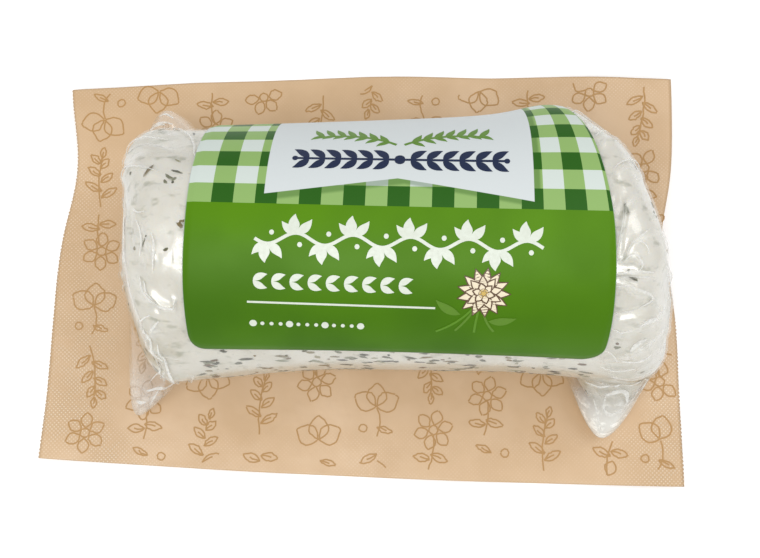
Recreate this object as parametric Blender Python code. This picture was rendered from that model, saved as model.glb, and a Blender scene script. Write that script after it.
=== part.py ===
# A soft cheese log with herbs, vacuum packed under clear film on a wide backing sheet,
# with a wrapped label on top. The log lies along X on the sheet, +Z is up, the front is -Y.
# All sizes below are in millimetres. The meshes are written in metres.
import math

import bmesh
import bpy
import numpy as np

MM = 0.001

# Backing sheet: two films welded together, cut as a slightly drawn-in rectangle.
SHEET_THICKNESS = 0.35
SHEET_GRID = (35, 24)  # points along X and along Y
SHEET_FRONT = (-34.4, -38.1, -40.1)  # front edge at its left end, middle and right end
SHEET_BACK = (35.3, 38.3, 36.4)
SHEET_LEFT = (-59.3, -57.9, -57.1)  # left edge at its front end, middle and back end
SHEET_RIGHT = (56.9, 57.9, 58.9)
LEFT_PINCH = (2.2, 20.0, 12.0)  # how far the left edge is drawn in, where along Y, and its spread
RIGHT_PINCH = (2.3, 5.0, 10.0)
FLAT_HALF_LENGTH = 46.0  # the sheet is flat under the log
FLAT_HALF_DEPTH = 21.5
CORNER_CURL = {(-1, -1): 0.5, (-1, 1): 2.0, (1, -1): 1.0, (1, 1): 2.8}
LEFT_CURL = 1.6
RIGHT_CURL = 2.0
EDGE_WAVE = 0.35

# Log under its film.
GAP = 0.3  # left free between separate pieces
SHEET_CLEARANCE = 0.25  # more of it where the film meets the curved margins
LOG_LEFT = -40.3
LOG_RIGHT = 50.6
LEFT_RADIUS = 19.75
RIGHT_RADIUS = 21.7
NOMINAL_RADIUS = 20.5
LEFT_SHOULDER = 6.0  # radius of the turn from the side to the left end
RIGHT_SHOULDER = 7.0
END_DOME = 1.3
SINK = 0.9  # how far the round underside is pressed flat
BACK_BULGE = (0.9, 32.0, 9.0)  # height, place along X and spread of the swelling behind the label
RIGHT_END_SLANT = 0.0125  # the right end falls away towards the back with the square of Y
RIGHT_END_CREST = -10.0  # Y of the furthest point of the right end
RIGHT_END_RANGE = (20.0, 46.8)  # the slant grows along X between these
LEFT_END_SLANT = 0.27  # the left end runs in towards the front, in proportion to Y
LEFT_END_CREST = -7.0  # Y from where it does so, and how softly that starts
LEFT_END_SOFTNESS = 4.0
LEFT_END_RANGE = (-24.0, -38.0)  # this slant grows along X between these
END_LEANS = ((0.22, -25.0, -33.0, 4.0), (-0.29, 35.0, 44.0, 4.2))
# Each end leans in towards the top: slope against height, where along X it starts and is
# whole, and its limit. Towards the back it leans less.
LEAN_BACK = (0.6, 2.0, 16.0)
FOOT_REACH = 5.2  # film that runs from the log's flank down to the sheet
FOOT_ANGLE = math.radians(136)
FOOT_SPREAD = math.radians(13)
FRONT_FLARES = ((2.2, -2.0, -34.0), (1.3, 22.0, 44.0))
# The front flank swells towards each end: how far, and where along X it starts and is whole.
FLARE_ANGLE = math.radians(-100)
FLARE_SPREAD = math.radians(32)
PLEAT_DEPTH = 0.55
PLEATS = ((5, 0.6), (9, 2.1), (14, 4.0))  # folds round each end: count and phase

# Ears: corners of the film pocket, pulled out of the log's ends.
# Each has its place along X and round the log, its pull in X, Y and Z, and its spreads.
EARS = {
    "front_left": ((-35.5, -126), (-6.0, -9.0, -3.5), (6.5, 22)),
    "front_right": ((44.2, -122), (-5.5, -12.0, -4.8), (10.0, 26)),
    "back_left": ((-33.0, 108), (-2.6, 10.8, -4.5), (8.5, 24)),
    "back_right": ((42.0, 116), (0.0, 3.2, -2.5), (9.0, 22)),
}

# Herb flakes that show through the film.
FLAKE_LENGTH = (0.8, 1.4)  # half of the shortest and of the longest
FLAKE_WIDTH = 0.38
FLAKE_HEIGHT = 0.26
FLAKE_APART = 4.2  # least distance between two flakes
FLAKE_SEED = 7

# Label, wrapped round the top of the log.
LABEL_LENGTH = 61.5
LABEL_CENTRE = 5.45
LABEL_FRONT = -22.2  # front and back edge, measured round the log from its top line
LABEL_BACK = 28.5
LABEL_CORNER = 3.4
LABEL_THICKNESS = 0.16
LABEL_SKEW = math.radians(2.9)

FILM_COLOUR = (0.88, 0.87, 0.82, 1.0)
SHEET_COLOUR = (0.67, 0.46, 0.27, 1.0)
LABEL_COLOUR = (0.10, 0.24, 0.02, 1.0)


def clear_scene():
    for item in list(bpy.data.objects):
        bpy.data.objects.remove(item)


def material(name, colour, roughness):
    made = bpy.data.materials.new(name)
    made.use_nodes = True
    shader = made.node_tree.nodes["Principled BSDF"]
    shader.inputs["Base Color"].default_value = colour
    shader.inputs["Roughness"].default_value = roughness
    shader.inputs["Metallic"].default_value = 0.0
    return made


def smooth_step(value, low, high):
    share = np.clip((value - low) / (high - low), 0, 1)
    return share * share * (3 - 2 * share)


def hill(value, centre, spread):
    return np.exp(-(((value - centre) / spread) ** 2))


def soft_max(first, second, softness):
    return 0.5 * (first + second + np.sqrt((first - second) ** 2 + softness**2))


def through_three(values, share):
    """Parabola through three values at shares 0, 0.5 and 1."""
    first, middle, last = values
    return (
        first * (1 - share) * (1 - 2 * share)
        + 4 * middle * share * (1 - share)
        + last * share * (2 * share - 1)
    )


def grid_faces(rows, columns, wrap=False):
    """Quads of a grid of points, closed round its columns where wrap is set."""
    reach = columns if wrap else columns - 1
    faces = []
    for row in range(rows - 1):
        for column in range(reach):
            beside = (column + 1) % columns
            faces.append(
                (
                    row * columns + column,
                    row * columns + beside,
                    (row + 1) * columns + beside,
                    (row + 1) * columns + column,
                )
            )
    return faces


def triangles(faces):
    """Splits quads, so that both faces of a thin piece are cut alike."""
    cut = []
    for face in faces:
        cut.append((face[0], face[1], face[2]))
        if len(face) == 4:
            cut.append((face[0], face[2], face[3]))
    return cut


def add_object(name, points, faces, look, offset):
    mesh = bpy.data.meshes.new(name)
    mesh.from_pydata(((np.asarray(points) + offset) * MM).tolist(), [], faces)
    mesh.validate()
    mesh.materials.append(look)
    mesh.shade_smooth()
    made = bpy.data.objects.new(name, mesh)
    bpy.context.scene.collection.objects.link(made)
    return made


def slab(top, bottom, rows, columns):
    """Closed thin piece between two grids of points that match."""
    points = np.concatenate([top.reshape(-1, 3), bottom.reshape(-1, 3)])
    upper = triangles(grid_faces(rows, columns))
    count = rows * columns
    lower = [tuple(count + corner for corner in reversed(face)) for face in upper]
    rim = (
        [column for column in range(columns)]
        + [row * columns + columns - 1 for row in range(1, rows)]
        + [(rows - 1) * columns + column for column in range(columns - 2, -1, -1)]
        + [row * columns for row in range(rows - 2, 0, -1)]
    )
    wall = []
    for here, after in zip(rim, rim[1:] + rim[:1]):
        wall.append((here, count + here, count + after))
        wall.append((here, count + after, after))
    return points, upper + lower + wall


def sheet_lift(x, y):
    """Height that the sheet's margins rise off the table."""
    along = smooth_step(np.abs(x), FLAT_HALF_LENGTH, 61.0)
    across = smooth_step(np.abs(y), FLAT_HALF_DEPTH, 40.0)
    lift = np.where(x < 0, LEFT_CURL, RIGHT_CURL) * along * hill(y, 6.0, 24.0)
    for (side, end), curl in CORNER_CURL.items():
        reach = smooth_step(side * x, 24.0, 60.0) * smooth_step(end * y, 8.0, 39.0)
        lift = lift + curl * reach
    wave = 1 + np.sin(x * 0.17 + 0.8 * np.sign(y))
    return lift + EDGE_WAVE * wave * across


def sheet_grid(columns, rows):
    """Points of the sheet's underside: a patch blended between its four edges."""
    u, v = np.meshgrid(np.linspace(0, 1, columns), np.linspace(0, 1, rows))
    front, back = through_three(SHEET_FRONT, u), through_three(SHEET_BACK, u)
    left, right = through_three(SHEET_LEFT, v), through_three(SHEET_RIGHT, v)
    y = front + (back - front) * v
    left = left + LEFT_PINCH[0] * hill(y, *LEFT_PINCH[1:])
    right = right - RIGHT_PINCH[0] * hill(y, *RIGHT_PINCH[1:])
    x = left + (right - left) * u
    return np.stack([x, y, sheet_lift(x, y)], axis=-1)


def make_sheet(offset):
    columns, rows = SHEET_GRID
    bottom = sheet_grid(columns, rows)
    top = bottom + (0, 0, SHEET_THICKNESS)
    points, faces = slab(top, bottom, rows, columns)
    look = material("backing_film", SHEET_COLOUR, 0.45)
    return add_object("backing_sheet", points, faces, look, offset)


def radius_at(x, angle):
    share = np.clip((x - LOG_LEFT) / (LOG_RIGHT - LOG_LEFT), 0, 1)
    bulge = BACK_BULGE[0] * hill(x, *BACK_BULGE[1:]) * hill(angle, math.radians(72), 0.6)
    return LEFT_RADIUS + (RIGHT_RADIUS - LEFT_RADIUS) * share**1.5 + bulge


def outline_lengths():
    """Lengths along the log's half outline: end face, shoulder, side, shoulder, end face."""
    side = LOG_RIGHT - LOG_LEFT - LEFT_SHOULDER - RIGHT_SHOULDER - 2 * END_DOME
    return (
        NOMINAL_RADIUS - LEFT_SHOULDER,
        LEFT_SHOULDER * math.pi / 2,
        side,
        RIGHT_SHOULDER * math.pi / 2,
        NOMINAL_RADIUS - RIGHT_SHOULDER,
    )


def half_outline(stations):
    """Turns distances along the log's half outline, from its left pole, into X and a
    share of its radius."""
    left_face, left_turn, side, right_turn, right_face = outline_lengths()
    total = left_face + left_turn + side + right_turn + right_face

    def end(distance, face, shoulder):
        turn = np.clip((distance - face) / shoulder, 0, math.pi / 2)
        flat = np.minimum(distance, face)
        inward = shoulder * (1 - np.cos(turn)) + END_DOME * (flat / face) ** 2 - END_DOME
        return inward, flat + shoulder * np.sin(turn)

    from_left, left_reach = end(stations, left_face, LEFT_SHOULDER)
    from_right, right_reach = end(total - stations, right_face, RIGHT_SHOULDER)
    run = np.clip(stations - left_face - left_turn, 0, side)
    x = LOG_LEFT + END_DOME + from_left + run
    on_right = stations > left_face + left_turn + side
    x = np.where(on_right, LOG_RIGHT - END_DOME - from_right, x)
    reach = np.where(on_right, right_reach, left_reach)
    return x, reach / NOMINAL_RADIUS


def outline_stations():
    """Distances along the half outline: close together at the ends, wide under the label."""
    left_face, left_turn, side, right_turn, right_face = outline_lengths()
    start = left_face + left_turn
    side_left = LOG_LEFT + END_DOME + LEFT_SHOULDER
    label_start = start + LABEL_CENTRE - LABEL_LENGTH / 2 - side_left
    label_end = label_start + LABEL_LENGTH
    parts = [
        np.linspace(0, left_face, 6)[1:-1],
        np.linspace(left_face, start, 6, endpoint=False),
        np.linspace(start, label_start, 6, endpoint=False),
        np.linspace(label_start, label_end, 13, endpoint=False),
        np.linspace(label_end, start + side, 5, endpoint=False),
        np.linspace(start + side, start + side + right_turn, 8, endpoint=False),
        np.linspace(start + side + right_turn, start + side + right_turn + right_face, 5)[:-1],
    ]
    return np.concatenate(parts)


def ring_angles():
    """Angles round the log from its top, close together where the ears and feet are."""
    flank = np.linspace(88, 152, 17, endpoint=False)
    return np.radians(
        np.concatenate(
            [
                np.linspace(-88, 88, 25, endpoint=False),
                flank,
                np.linspace(152, 208, 8, endpoint=False),
                360 - flank[::-1] - (flank[1] - flank[0]),
            ]
        )
    )


def turn_from(angle, centre):
    """Smallest turn between two angles."""
    return np.arctan2(np.sin(angle - centre), np.cos(angle - centre))


def film_base():
    return SHEET_THICKNESS + GAP


def body_point(x, share, angle, out=0.0):
    """A point on the film: x and the share of the radius come from the half outline."""
    radius = radius_at(x, angle)
    foot = hill(turn_from(angle, FOOT_ANGLE), 0, FOOT_SPREAD)
    foot = foot + hill(turn_from(angle, -FOOT_ANGLE), 0, FOOT_SPREAD)
    flare = sum(
        size * smooth_step((x - begins) / (whole - begins), 0, 1)
        for size, begins, whole in FRONT_FLARES
    )
    flare = flare * hill(turn_from(angle, FLARE_ANGLE), 0, FLARE_SPREAD)
    ends = smooth_step(np.abs(x - LABEL_CENTRE), LABEL_LENGTH / 2 + 1, LABEL_LENGTH / 2 + 12)
    pleat = sum(np.cos(count * angle + phase) for count, phase in PLEATS) / len(PLEATS)
    edge = ends * smooth_step(share, 0.15, 0.8)
    reach = share * (radius + FOOT_REACH * foot + flare) + PLEAT_DEPTH * pleat * edge + out
    y = reach * np.sin(angle)
    z = film_base() + radius - SINK + reach * np.cos(angle)
    fall = RIGHT_END_SLANT * np.maximum(y - RIGHT_END_CREST, 0) ** 2
    start, stop = RIGHT_END_RANGE
    x_moved = x - fall * np.clip((x - start) / (stop - start), 0, 1) ** 1.6
    start, stop = LEFT_END_RANGE
    fall = LEFT_END_SLANT * soft_max(LEFT_END_CREST - y, 0, LEFT_END_SOFTNESS)
    x_moved = x_moved + fall * np.clip((x - start) / (stop - start), 0, 1)
    for slope, begins, whole, limit in END_LEANS:
        lean = np.minimum(abs(slope) * (z - NOMINAL_RADIUS), limit) * np.sign(slope)
        lean = lean * (1 - LEAN_BACK[0] * smooth_step(y, *LEAN_BACK[1:]))
        x_moved = x_moved + lean * smooth_step((x - begins) / (whole - begins), 0, 1)
    for (centre, direction), pull, (along, round_) in EARS.values():
        turn = np.degrees(turn_from(angle, math.radians(direction)))
        far = ((x - centre) / along) ** 2 + (turn / round_) ** 2
        hook = np.clip(1 - far, 0, 1) ** 2 * smooth_step(share, 0.3, 0.9)
        x_moved, y, z = x_moved + pull[0] * hook, y + pull[1] * hook, z + pull[2] * hook
    z = soft_max(z, film_base() + SHEET_CLEARANCE + sheet_lift(x_moved, y), 0.5)
    return np.stack([x_moved, y, z], axis=-1)


def wrapped_log_mesh():
    """Rings from the left pole to the right pole, closed by a point at each."""
    x, share = half_outline(outline_stations())
    angles = ring_angles()
    rings = body_point(x[:, None], share[:, None], angles[None, :])
    left_pole = body_point(np.array(LOG_LEFT), np.array(0.0), np.array(0.0))
    right_pole = body_point(np.array(LOG_RIGHT), np.array(0.0), np.array(0.0))
    points = np.concatenate([rings.reshape(-1, 3), left_pole[None], right_pole[None]])
    rows, columns = rings.shape[:2]
    faces = [face[::-1] for face in triangles(grid_faces(rows, columns, wrap=True))]
    left, right = rows * columns, rows * columns + 1
    last = (rows - 1) * columns
    for column in range(columns):
        beside = (column + 1) % columns
        faces.append((left, column, beside))
        faces.append((right, last + beside, last + column))
    return points, faces


def flake_mesh():
    """A low lens with pointed ends, one unit in every half size."""
    around = 6
    belt = [
        (math.cos(math.tau * k / around), math.sin(math.tau * k / around), 0.0)
        for k in range(around)
    ]
    cap = [(0.5 * px, 0.6 * py, 0.8) for px, py, _ in belt[::2]]
    base = [(0.5 * px, 0.6 * py, -0.8) for px, py, _ in belt[::2]]
    return np.array(belt + cap + base)


def flake_places():
    """Spread over the bare film: the front strip, the back strip and both end collars.
    A place too near an earlier one is passed over."""
    draw = np.random.default_rng(FLAKE_SEED)
    label_left = LABEL_CENTRE - LABEL_LENGTH / 2 - 3.0
    label_right = LABEL_CENTRE + LABEL_LENGTH / 2 + 3.0
    zones = (
        (label_left, label_right, -92, -74, 20),
        (label_left, label_right, 91, 102, 6),
        (LOG_LEFT + 7, label_left - 1.0, -90, 88, 9),
        (label_right + 1.0, LOG_RIGHT - 9.5, -84, 70, 9),
    )
    places, centres = [], []
    for low, high, start, stop, count in zones:
        kept = 0
        for _ in range(60 * count):
            x, angle = draw.uniform(low, high), math.radians(draw.uniform(start, stop))
            centre = body_point(np.array(x), np.array(1.0), np.array(angle))
            clear = all(np.linalg.norm(centre - other) > FLAKE_APART for other in centres)
            if clear and kept < count:
                kept += 1
                centres.append(centre)
                places.append((x, angle))
    return places, draw


def make_flakes(look, offset):
    """One closed lens for each flake, half sunk in the film."""
    holder = bpy.data.collections.new("flakes")
    bpy.context.scene.collection.children.link(holder)
    places, draw = flake_places()
    for number, (x, angle) in enumerate(places):
        centre = body_point(np.array(x), np.array(1.0), np.array(angle))
        outward = body_point(np.array(x), np.array(1.0), np.array(angle), 1.0) - centre
        outward /= np.linalg.norm(outward)
        swing = draw.uniform(-0.7, 0.7)
        along = np.array([math.cos(swing), 0, 0]) + math.sin(swing) * np.array(
            [0, math.cos(angle), -math.sin(angle)]
        )
        along -= outward * (along @ outward)
        along /= np.linalg.norm(along)
        sideways = np.cross(outward, along)
        frame = np.stack([along, sideways, outward])
        size = (draw.uniform(*FLAKE_LENGTH), FLAKE_WIDTH, FLAKE_HEIGHT)
        points = (flake_mesh() * size) @ frame + centre
        hull_of(f"flake_{number}", points, look, offset, holder)
    return holder


def hull_of(name, points, look, offset, holder):
    """Closed convex mesh round a few points."""
    mesh = bpy.data.meshes.new(name)
    mesh.from_pydata(((points + offset) * MM).tolist(), [], [])
    flake = bpy.data.objects.new(name, mesh)
    holder.objects.link(flake)
    shape = bmesh.new()
    shape.from_mesh(mesh)
    made = bmesh.ops.convex_hull(shape, input=shape.verts)
    bmesh.ops.delete(shape, geom=made["geom_unused"], context="VERTS")
    bmesh.ops.recalc_face_normals(shape, faces=shape.faces)
    shape.to_mesh(mesh)
    shape.free()
    mesh.materials.append(look)
    return flake


def make_log(offset):
    look = material("film_over_cheese", FILM_COLOUR, 0.2)
    points, faces = wrapped_log_mesh()
    log = add_object("wrapped_log", points, faces, look, offset)
    holder = make_flakes(look, offset)
    join = log.modifiers.new("flakes", "BOOLEAN")
    join.operation = "UNION"
    join.solver = "EXACT"
    join.operand_type = "COLLECTION"
    join.collection = holder
    bpy.context.view_layer.update()
    graph = bpy.context.evaluated_depsgraph_get()
    joined = bpy.data.meshes.new_from_object(log.evaluated_get(graph))
    log.modifiers.clear()
    log.data = joined
    for flake in list(holder.objects):
        bpy.data.objects.remove(flake)
    bpy.data.collections.remove(holder)
    return log


def label_point(along, around, out):
    """A point of the label from its own two lengths, turned by its skew, then wrapped."""
    x = LABEL_CENTRE + along * math.cos(LABEL_SKEW) + around * math.sin(LABEL_SKEW)
    arc = around * math.cos(LABEL_SKEW) - along * math.sin(LABEL_SKEW)
    angle = arc / radius_at(x, np.zeros_like(x))
    return body_point(x, np.ones_like(x), angle, out)


def make_label(offset):
    """Rounded rectangle: each column of the grid ends on the rounded front or back edge."""
    half = LABEL_LENGTH / 2
    turn = np.linspace(0, math.pi / 2, 5)
    corner = half - LABEL_CORNER + LABEL_CORNER * np.sin(turn)
    middle = np.linspace(-half + LABEL_CORNER, half - LABEL_CORNER, 15)
    along = np.concatenate([-corner[:0:-1], middle, corner[1:]])
    rows = 15
    inset = np.maximum(np.abs(along) - (half - LABEL_CORNER), 0)
    cut = LABEL_CORNER - np.sqrt(np.maximum(LABEL_CORNER**2 - inset**2, 0))
    share = np.linspace(0, 1, rows)[:, None]
    around = (LABEL_FRONT + cut) + share * (LABEL_BACK - LABEL_FRONT - 2 * cut)
    along = np.broadcast_to(along, around.shape)
    bottom = label_point(along, around, GAP)
    top = label_point(along, around, GAP + LABEL_THICKNESS)
    points, faces = slab(top, bottom, rows, around.shape[1])
    look = material("label_paper", LABEL_COLOUR, 0.5)
    return add_object("label", points, faces, look, offset)


def main():
    clear_scene()
    outline = sheet_grid(*SHEET_GRID)
    low, high = outline.min(axis=(0, 1)), outline.max(axis=(0, 1))
    offset = np.array([-(low[0] + high[0]) / 2, -(low[1] + high[1]) / 2, 0.0])
    make_sheet(offset)
    make_log(offset)
    make_label(offset)


main()
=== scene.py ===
import math

import bpy
import numpy as np
from mathutils import Matrix, Vector


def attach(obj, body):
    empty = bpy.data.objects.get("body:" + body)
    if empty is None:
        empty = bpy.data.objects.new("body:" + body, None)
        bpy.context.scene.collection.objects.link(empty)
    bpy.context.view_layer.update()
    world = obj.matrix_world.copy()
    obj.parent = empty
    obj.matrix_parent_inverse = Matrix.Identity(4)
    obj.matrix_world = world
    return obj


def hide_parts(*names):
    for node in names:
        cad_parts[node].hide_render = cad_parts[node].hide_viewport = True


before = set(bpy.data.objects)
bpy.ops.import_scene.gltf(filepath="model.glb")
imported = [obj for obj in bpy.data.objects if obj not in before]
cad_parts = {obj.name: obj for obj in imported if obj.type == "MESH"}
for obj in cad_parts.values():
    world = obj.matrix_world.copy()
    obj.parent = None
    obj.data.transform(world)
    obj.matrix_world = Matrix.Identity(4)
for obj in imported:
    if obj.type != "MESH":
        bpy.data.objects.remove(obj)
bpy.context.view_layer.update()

# A vacuum packed log of soft cheese with herbs, on its backing film, under a wrapped label.
# Sizes are in millimetres, and the meshes are written in metres. The front is -Y.

mm = 0.001
recentre = np.array([0.20006, 0.88460, 0.0])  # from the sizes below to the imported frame


# Shared shapes and meshes
def smoothStep(value, low, high):
    # 3t^2 - 2t^3, where t is how far value has gone from low to high, kept to 0..1
    share = np.clip((value - low) / (high - low), 0, 1)
    return share * share * (3 - 2 * share)


def hill(value, centre, spread):
    # e to the power of minus the square of the distance over the spread
    return np.exp(-(((value - centre) / spread) ** 2))


def softMax(first, second, softness):
    # the larger of the two, with the corner between them rounded
    return 0.5 * (first + second + np.sqrt((first - second) ** 2 + softness**2))


def throughThree(values, share):
    # parabola through three values at the shares 0, 0.5 and 1
    first, middle, last = values
    return (first * (1 - share) * (1 - 2 * share) + 4 * middle * share * (1 - share)
            + last * share * (2 * share - 1))


def turnFrom(angle, centre):
    # smallest turn between two angles
    return np.arctan2(np.sin(angle - centre), np.cos(angle - centre))


def latticeNoise(p, q, size, seed, cells=64):
    # random heights on a square lattice, -1..1, blended with 3t^2 - 2t^3 between its corners;
    # it repeats after so many cells
    table = np.random.default_rng(seed).uniform(-1, 1, (cells, cells))
    a, b = np.asarray(p) / size, np.asarray(q) / size
    column, row = np.floor(a).astype(int), np.floor(b).astype(int)
    s, t = smoothStep(a - column, 0, 1), smoothStep(b - row, 0, 1)
    column, row, right, above = (number % cells for number in (column, row, column + 1, row + 1))
    lower = table[row, column] * (1 - s) + table[row, right] * s
    upper = table[above, column] * (1 - s) + table[above, right] * s
    return lower * (1 - t) + upper * t


def gridQuads(rows, columns, wrap=False):
    # four corners of every cell of a grid of points, closed round its columns where wrap is set
    row, column = np.meshgrid(np.arange(rows - 1), np.arange(columns if wrap else columns - 1),
                              indexing="ij")
    beside = (column + 1) % columns
    corners = (row * columns + column, row * columns + beside,
               (row + 1) * columns + beside, (row + 1) * columns + column)
    return np.stack([corner.ravel() for corner in corners], axis=1)


def slab(top, bottom):
    # two grids that match, and a wall of quads round their rim
    rows, columns = top.shape[:2]
    count = rows * columns
    upper = gridQuads(rows, columns)
    number = np.arange(count).reshape(rows, columns)
    rim = np.concatenate([number[0, :-1], number[:-1, -1], number[-1, :0:-1], number[:0:-1, 0]])
    after = np.roll(rim, -1)
    wall = np.stack([rim, rim + count, after + count, after], axis=1)
    points = np.concatenate([top.reshape(-1, 3), bottom.reshape(-1, 3)])
    return points, np.concatenate([upper, upper[:, ::-1] + count, wall])


def addPiece(name, points, faces, look, slot, values=None, colours=None, smooth=True):
    # one mesh of points in mm and blocks of faces, with numbers and colours for its look
    mesh = bpy.data.meshes.new(name)
    cells = [face for part in faces for face in part.tolist()]
    mesh.from_pydata(((points + recentre) * mm).tolist(), [], cells)
    for key, numbers in (values or {}).items():
        mesh.attributes.new(key, "FLOAT", "POINT").data.foreach_set("value", np.ravel(numbers))
    for key, tints in (colours or {}).items():
        full = np.concatenate([tints, np.ones((len(tints), 1))], axis=1)
        mesh.attributes.new(key, "FLOAT_COLOR", "POINT").data.foreach_set("color", full.ravel())
    mesh.materials.append(look)
    if smooth:
        mesh.shade_smooth()
    piece = bpy.data.objects.new(name, mesh)
    bpy.context.scene.collection.objects.link(piece)
    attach(piece, "root")
    print(name, len(points), "points", sum(len(cell) - 2 for cell in cells), "triangles")
    return piece


# Shader helpers
class Wire:
    # one output socket, so that shader sums are written as expressions
    def __init__(self, look, socket):
        self.look, self.socket = look, socket

    def join(self, kind, first, second):
        return self.look.maths(kind, first, second)

    def __add__(self, other):
        return self.join("ADD", self, other)

    def __radd__(self, other):
        return self.join("ADD", other, self)

    def __sub__(self, other):
        return self.join("SUBTRACT", self, other)

    def __rsub__(self, other):
        return self.join("SUBTRACT", other, self)

    def __mul__(self, other):
        return self.join("MULTIPLY", self, other)

    def __rmul__(self, other):
        return self.join("MULTIPLY", other, self)

    def __truediv__(self, other):
        return self.join("DIVIDE", self, other)

    def __gt__(self, other):
        return self.join("GREATER_THAN", self, other)

    def __lt__(self, other):
        return self.join("LESS_THAN", self, other)

    def __abs__(self):
        return self.join("ABSOLUTE", self, 0.0)


class Look:
    # one material: feed sets or links the shader's sockets, named in camelCase
    def __init__(self, name, **constants):
        self.material = bpy.data.materials.new(name)
        self.material.use_nodes = True
        self.tree = self.material.node_tree
        self.shader = self.tree.nodes["Principled BSDF"]
        self.feed(**constants)

    def put(self, socket, value):
        if isinstance(value, Wire):
            self.tree.links.new(value.socket, socket)
        else:
            socket.default_value = value

    def node(self, kind, settings=None, inputs=None, output=0):
        made = self.tree.nodes.new("ShaderNode" + kind)
        for key, value in (settings or {}).items():
            setattr(made, key, value)
        for key, value in (inputs or {}).items():
            self.put(made.inputs[key], value)
        return Wire(self, made.outputs[output])

    def feed(self, **sockets):
        for key, value in sockets.items():
            words = "".join(" " + letter if letter.isupper() else letter for letter in key)
            self.put(self.shader.inputs[words.strip().title().replace("Ior", "IOR")], value)

    def maths(self, kind, *values):
        return self.node("Math", {"operation": kind}, dict(enumerate(values)))

    def place(self):
        return self.node("TexCoord", output="Object")

    def axis(self, letter):
        return self.node("SeparateXYZ", None, {0: self.place()}, output=letter)

    def value(self, name):
        return self.node("Attribute", {"attribute_name": name}, output="Fac")

    def colour(self, name):
        return self.node("Attribute", {"attribute_name": name}, output="Color")

    def noise(self, size, detail=2.0, roughness=0.5, stretch=(1, 1, 1)):
        # size is that of one blotch in mm, before it is stretched
        spread = self.node("VectorMath", {"operation": "MULTIPLY"},
                           {0: self.place(), 1: tuple(1000.0 / size / part for part in stretch)})
        return self.node("TexNoise", None, {"Vector": spread, "Scale": 1.0, "Detail": detail,
                                            "Roughness": roughness})

    def step(self, value, low, high):
        # 0 below low, 1 above high, smooth between them
        return self.node("MapRange", {"interpolation_type": "SMOOTHSTEP"},
                         {"Value": value, "From Min": low, "From Max": high})

    def mix(self, factor, first, second, blend="MIX"):
        def tint(colour):
            return (*colour, 1.0) if isinstance(colour, tuple) else colour
        return self.node("Mix", {"data_type": "RGBA", "blend_type": blend},
                         {0: factor, 6: tint(first), 7: tint(second)}, output=2)

    def bump(self, height):
        # height in mm
        self.feed(normal=self.node("Bump", None, {"Height": height, "Distance": mm, "Strength": 1.0}))


def fromScreen(red, green, blue):
    # a colour of 0..255 as read from a screen, made linear by the sRGB curve
    share = np.array([red, green, blue]) / 255.0
    linear = np.where(share <= 0.04045, share / 12.92, ((share + 0.055) / 1.055) ** 2.4)
    return tuple(linear.tolist())


# Backing film
sheet = {
    "thickness": 0.35,  # of the solid
    "thinned": 0.8,  # share of it that is drawn
    "front": (-34.4, -38.1, -40.1),  # edges at their two ends and middle
    "back": (35.3, 38.3, 36.4),
    "left": (-59.3, -57.9, -57.1),
    "right": (56.9, 57.9, 58.9),
    "leftPinch": (2.2, 20.0, 12.0),  # depth, place along Y and spread
    "rightPinch": (2.3, 5.0, 10.0),
    "cornerCurl": {(-1, -1): 0.5, (-1, 1): 2.0, (1, -1): 1.0, (1, 1): 2.8},
    "cornerRange": ((24.0, 60.0), (8.0, 39.0)),  # it grows between these, along X and Y
    "leftCurl": 1.6,
    "rightCurl": 2.0,
    "endRange": (46.0, 61.0),
    "endCrest": (6.0, 24.0),  # where along Y the ends curl most, and the spread
    "wave": (0.35, 0.17, 0.8),  # height, turn for each mm along X, and shift at front and back
    "waveRange": (21.5, 40.0),
    "crinkle": (0.16, 11.0),  # height and size of the film's slow unevenness
    "fineCrinkle": (0.35, 0.37),  # height and size of a second one, as shares of the first
    "crinkleRange": ((44.0, 52.0), (23.0, 32.0)),
    "seeds": (3, 4, 8),  # for crinkle, fine crinkle and seal
    "rows": 226,
    "columns": 150,
    "toothPitch": 0.72,  # cut edge, left and lower right
    "toothDepth": 0.26,
    "toothRange": (2.0, 8.0),  # how far in front of the middle the right edge gets its teeth
    "pocket": (-45.5, 51.0, -30.0, 31.0),  # the seal starts outside this rectangle
    "pocketSoft": (2.5, 2.0),  # over this far to each side of it, and at its front
    # where the seal is strong: side, range along X, loss towards the back and its range
    "pressed": ((-1, (34.0, 48.0), 0.8, (14.0, 26.0)), (1, (38.0, 52.0), 0.7, (0.0, 16.0))),
    "faintSeal": 0.22,
    "sealNoise": (0.62, 0.5, 9.0),  # mean, swing and size of its unevenness
    "knurl": 0.52,
    "knurlHeight": 0.07,
    "grain": (0.9, 0.012),  # size and height of its bumps
    "swell": (4.5, 0.10),
    "colour": fromScreen(213, 181, 143),
    "deep": fromScreen(190, 155, 113),
    # pale tan painted on the seal's dots, a painted highlight of the glints their bumps catch
    "bright": fromScreen(246, 228, 202),
}


def sheetLift(x, y):
    # curl of each corner and of both ends, and a slow wave along the front and back margins
    along = smoothStep(np.abs(x), *sheet["endRange"])
    across = smoothStep(np.abs(y), *sheet["waveRange"])
    lift = np.where(x < 0, sheet["leftCurl"], sheet["rightCurl"]) * along * hill(y, *sheet["endCrest"])
    alongRange, acrossRange = sheet["cornerRange"]
    for (side, end), curl in sheet["cornerCurl"].items():
        lift = lift + curl * smoothStep(side * x, *alongRange) * smoothStep(end * y, *acrossRange)
    height, turn, shift = sheet["wave"]
    return lift + height * (1 + np.sin(x * turn + shift * np.sign(y))) * across


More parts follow.
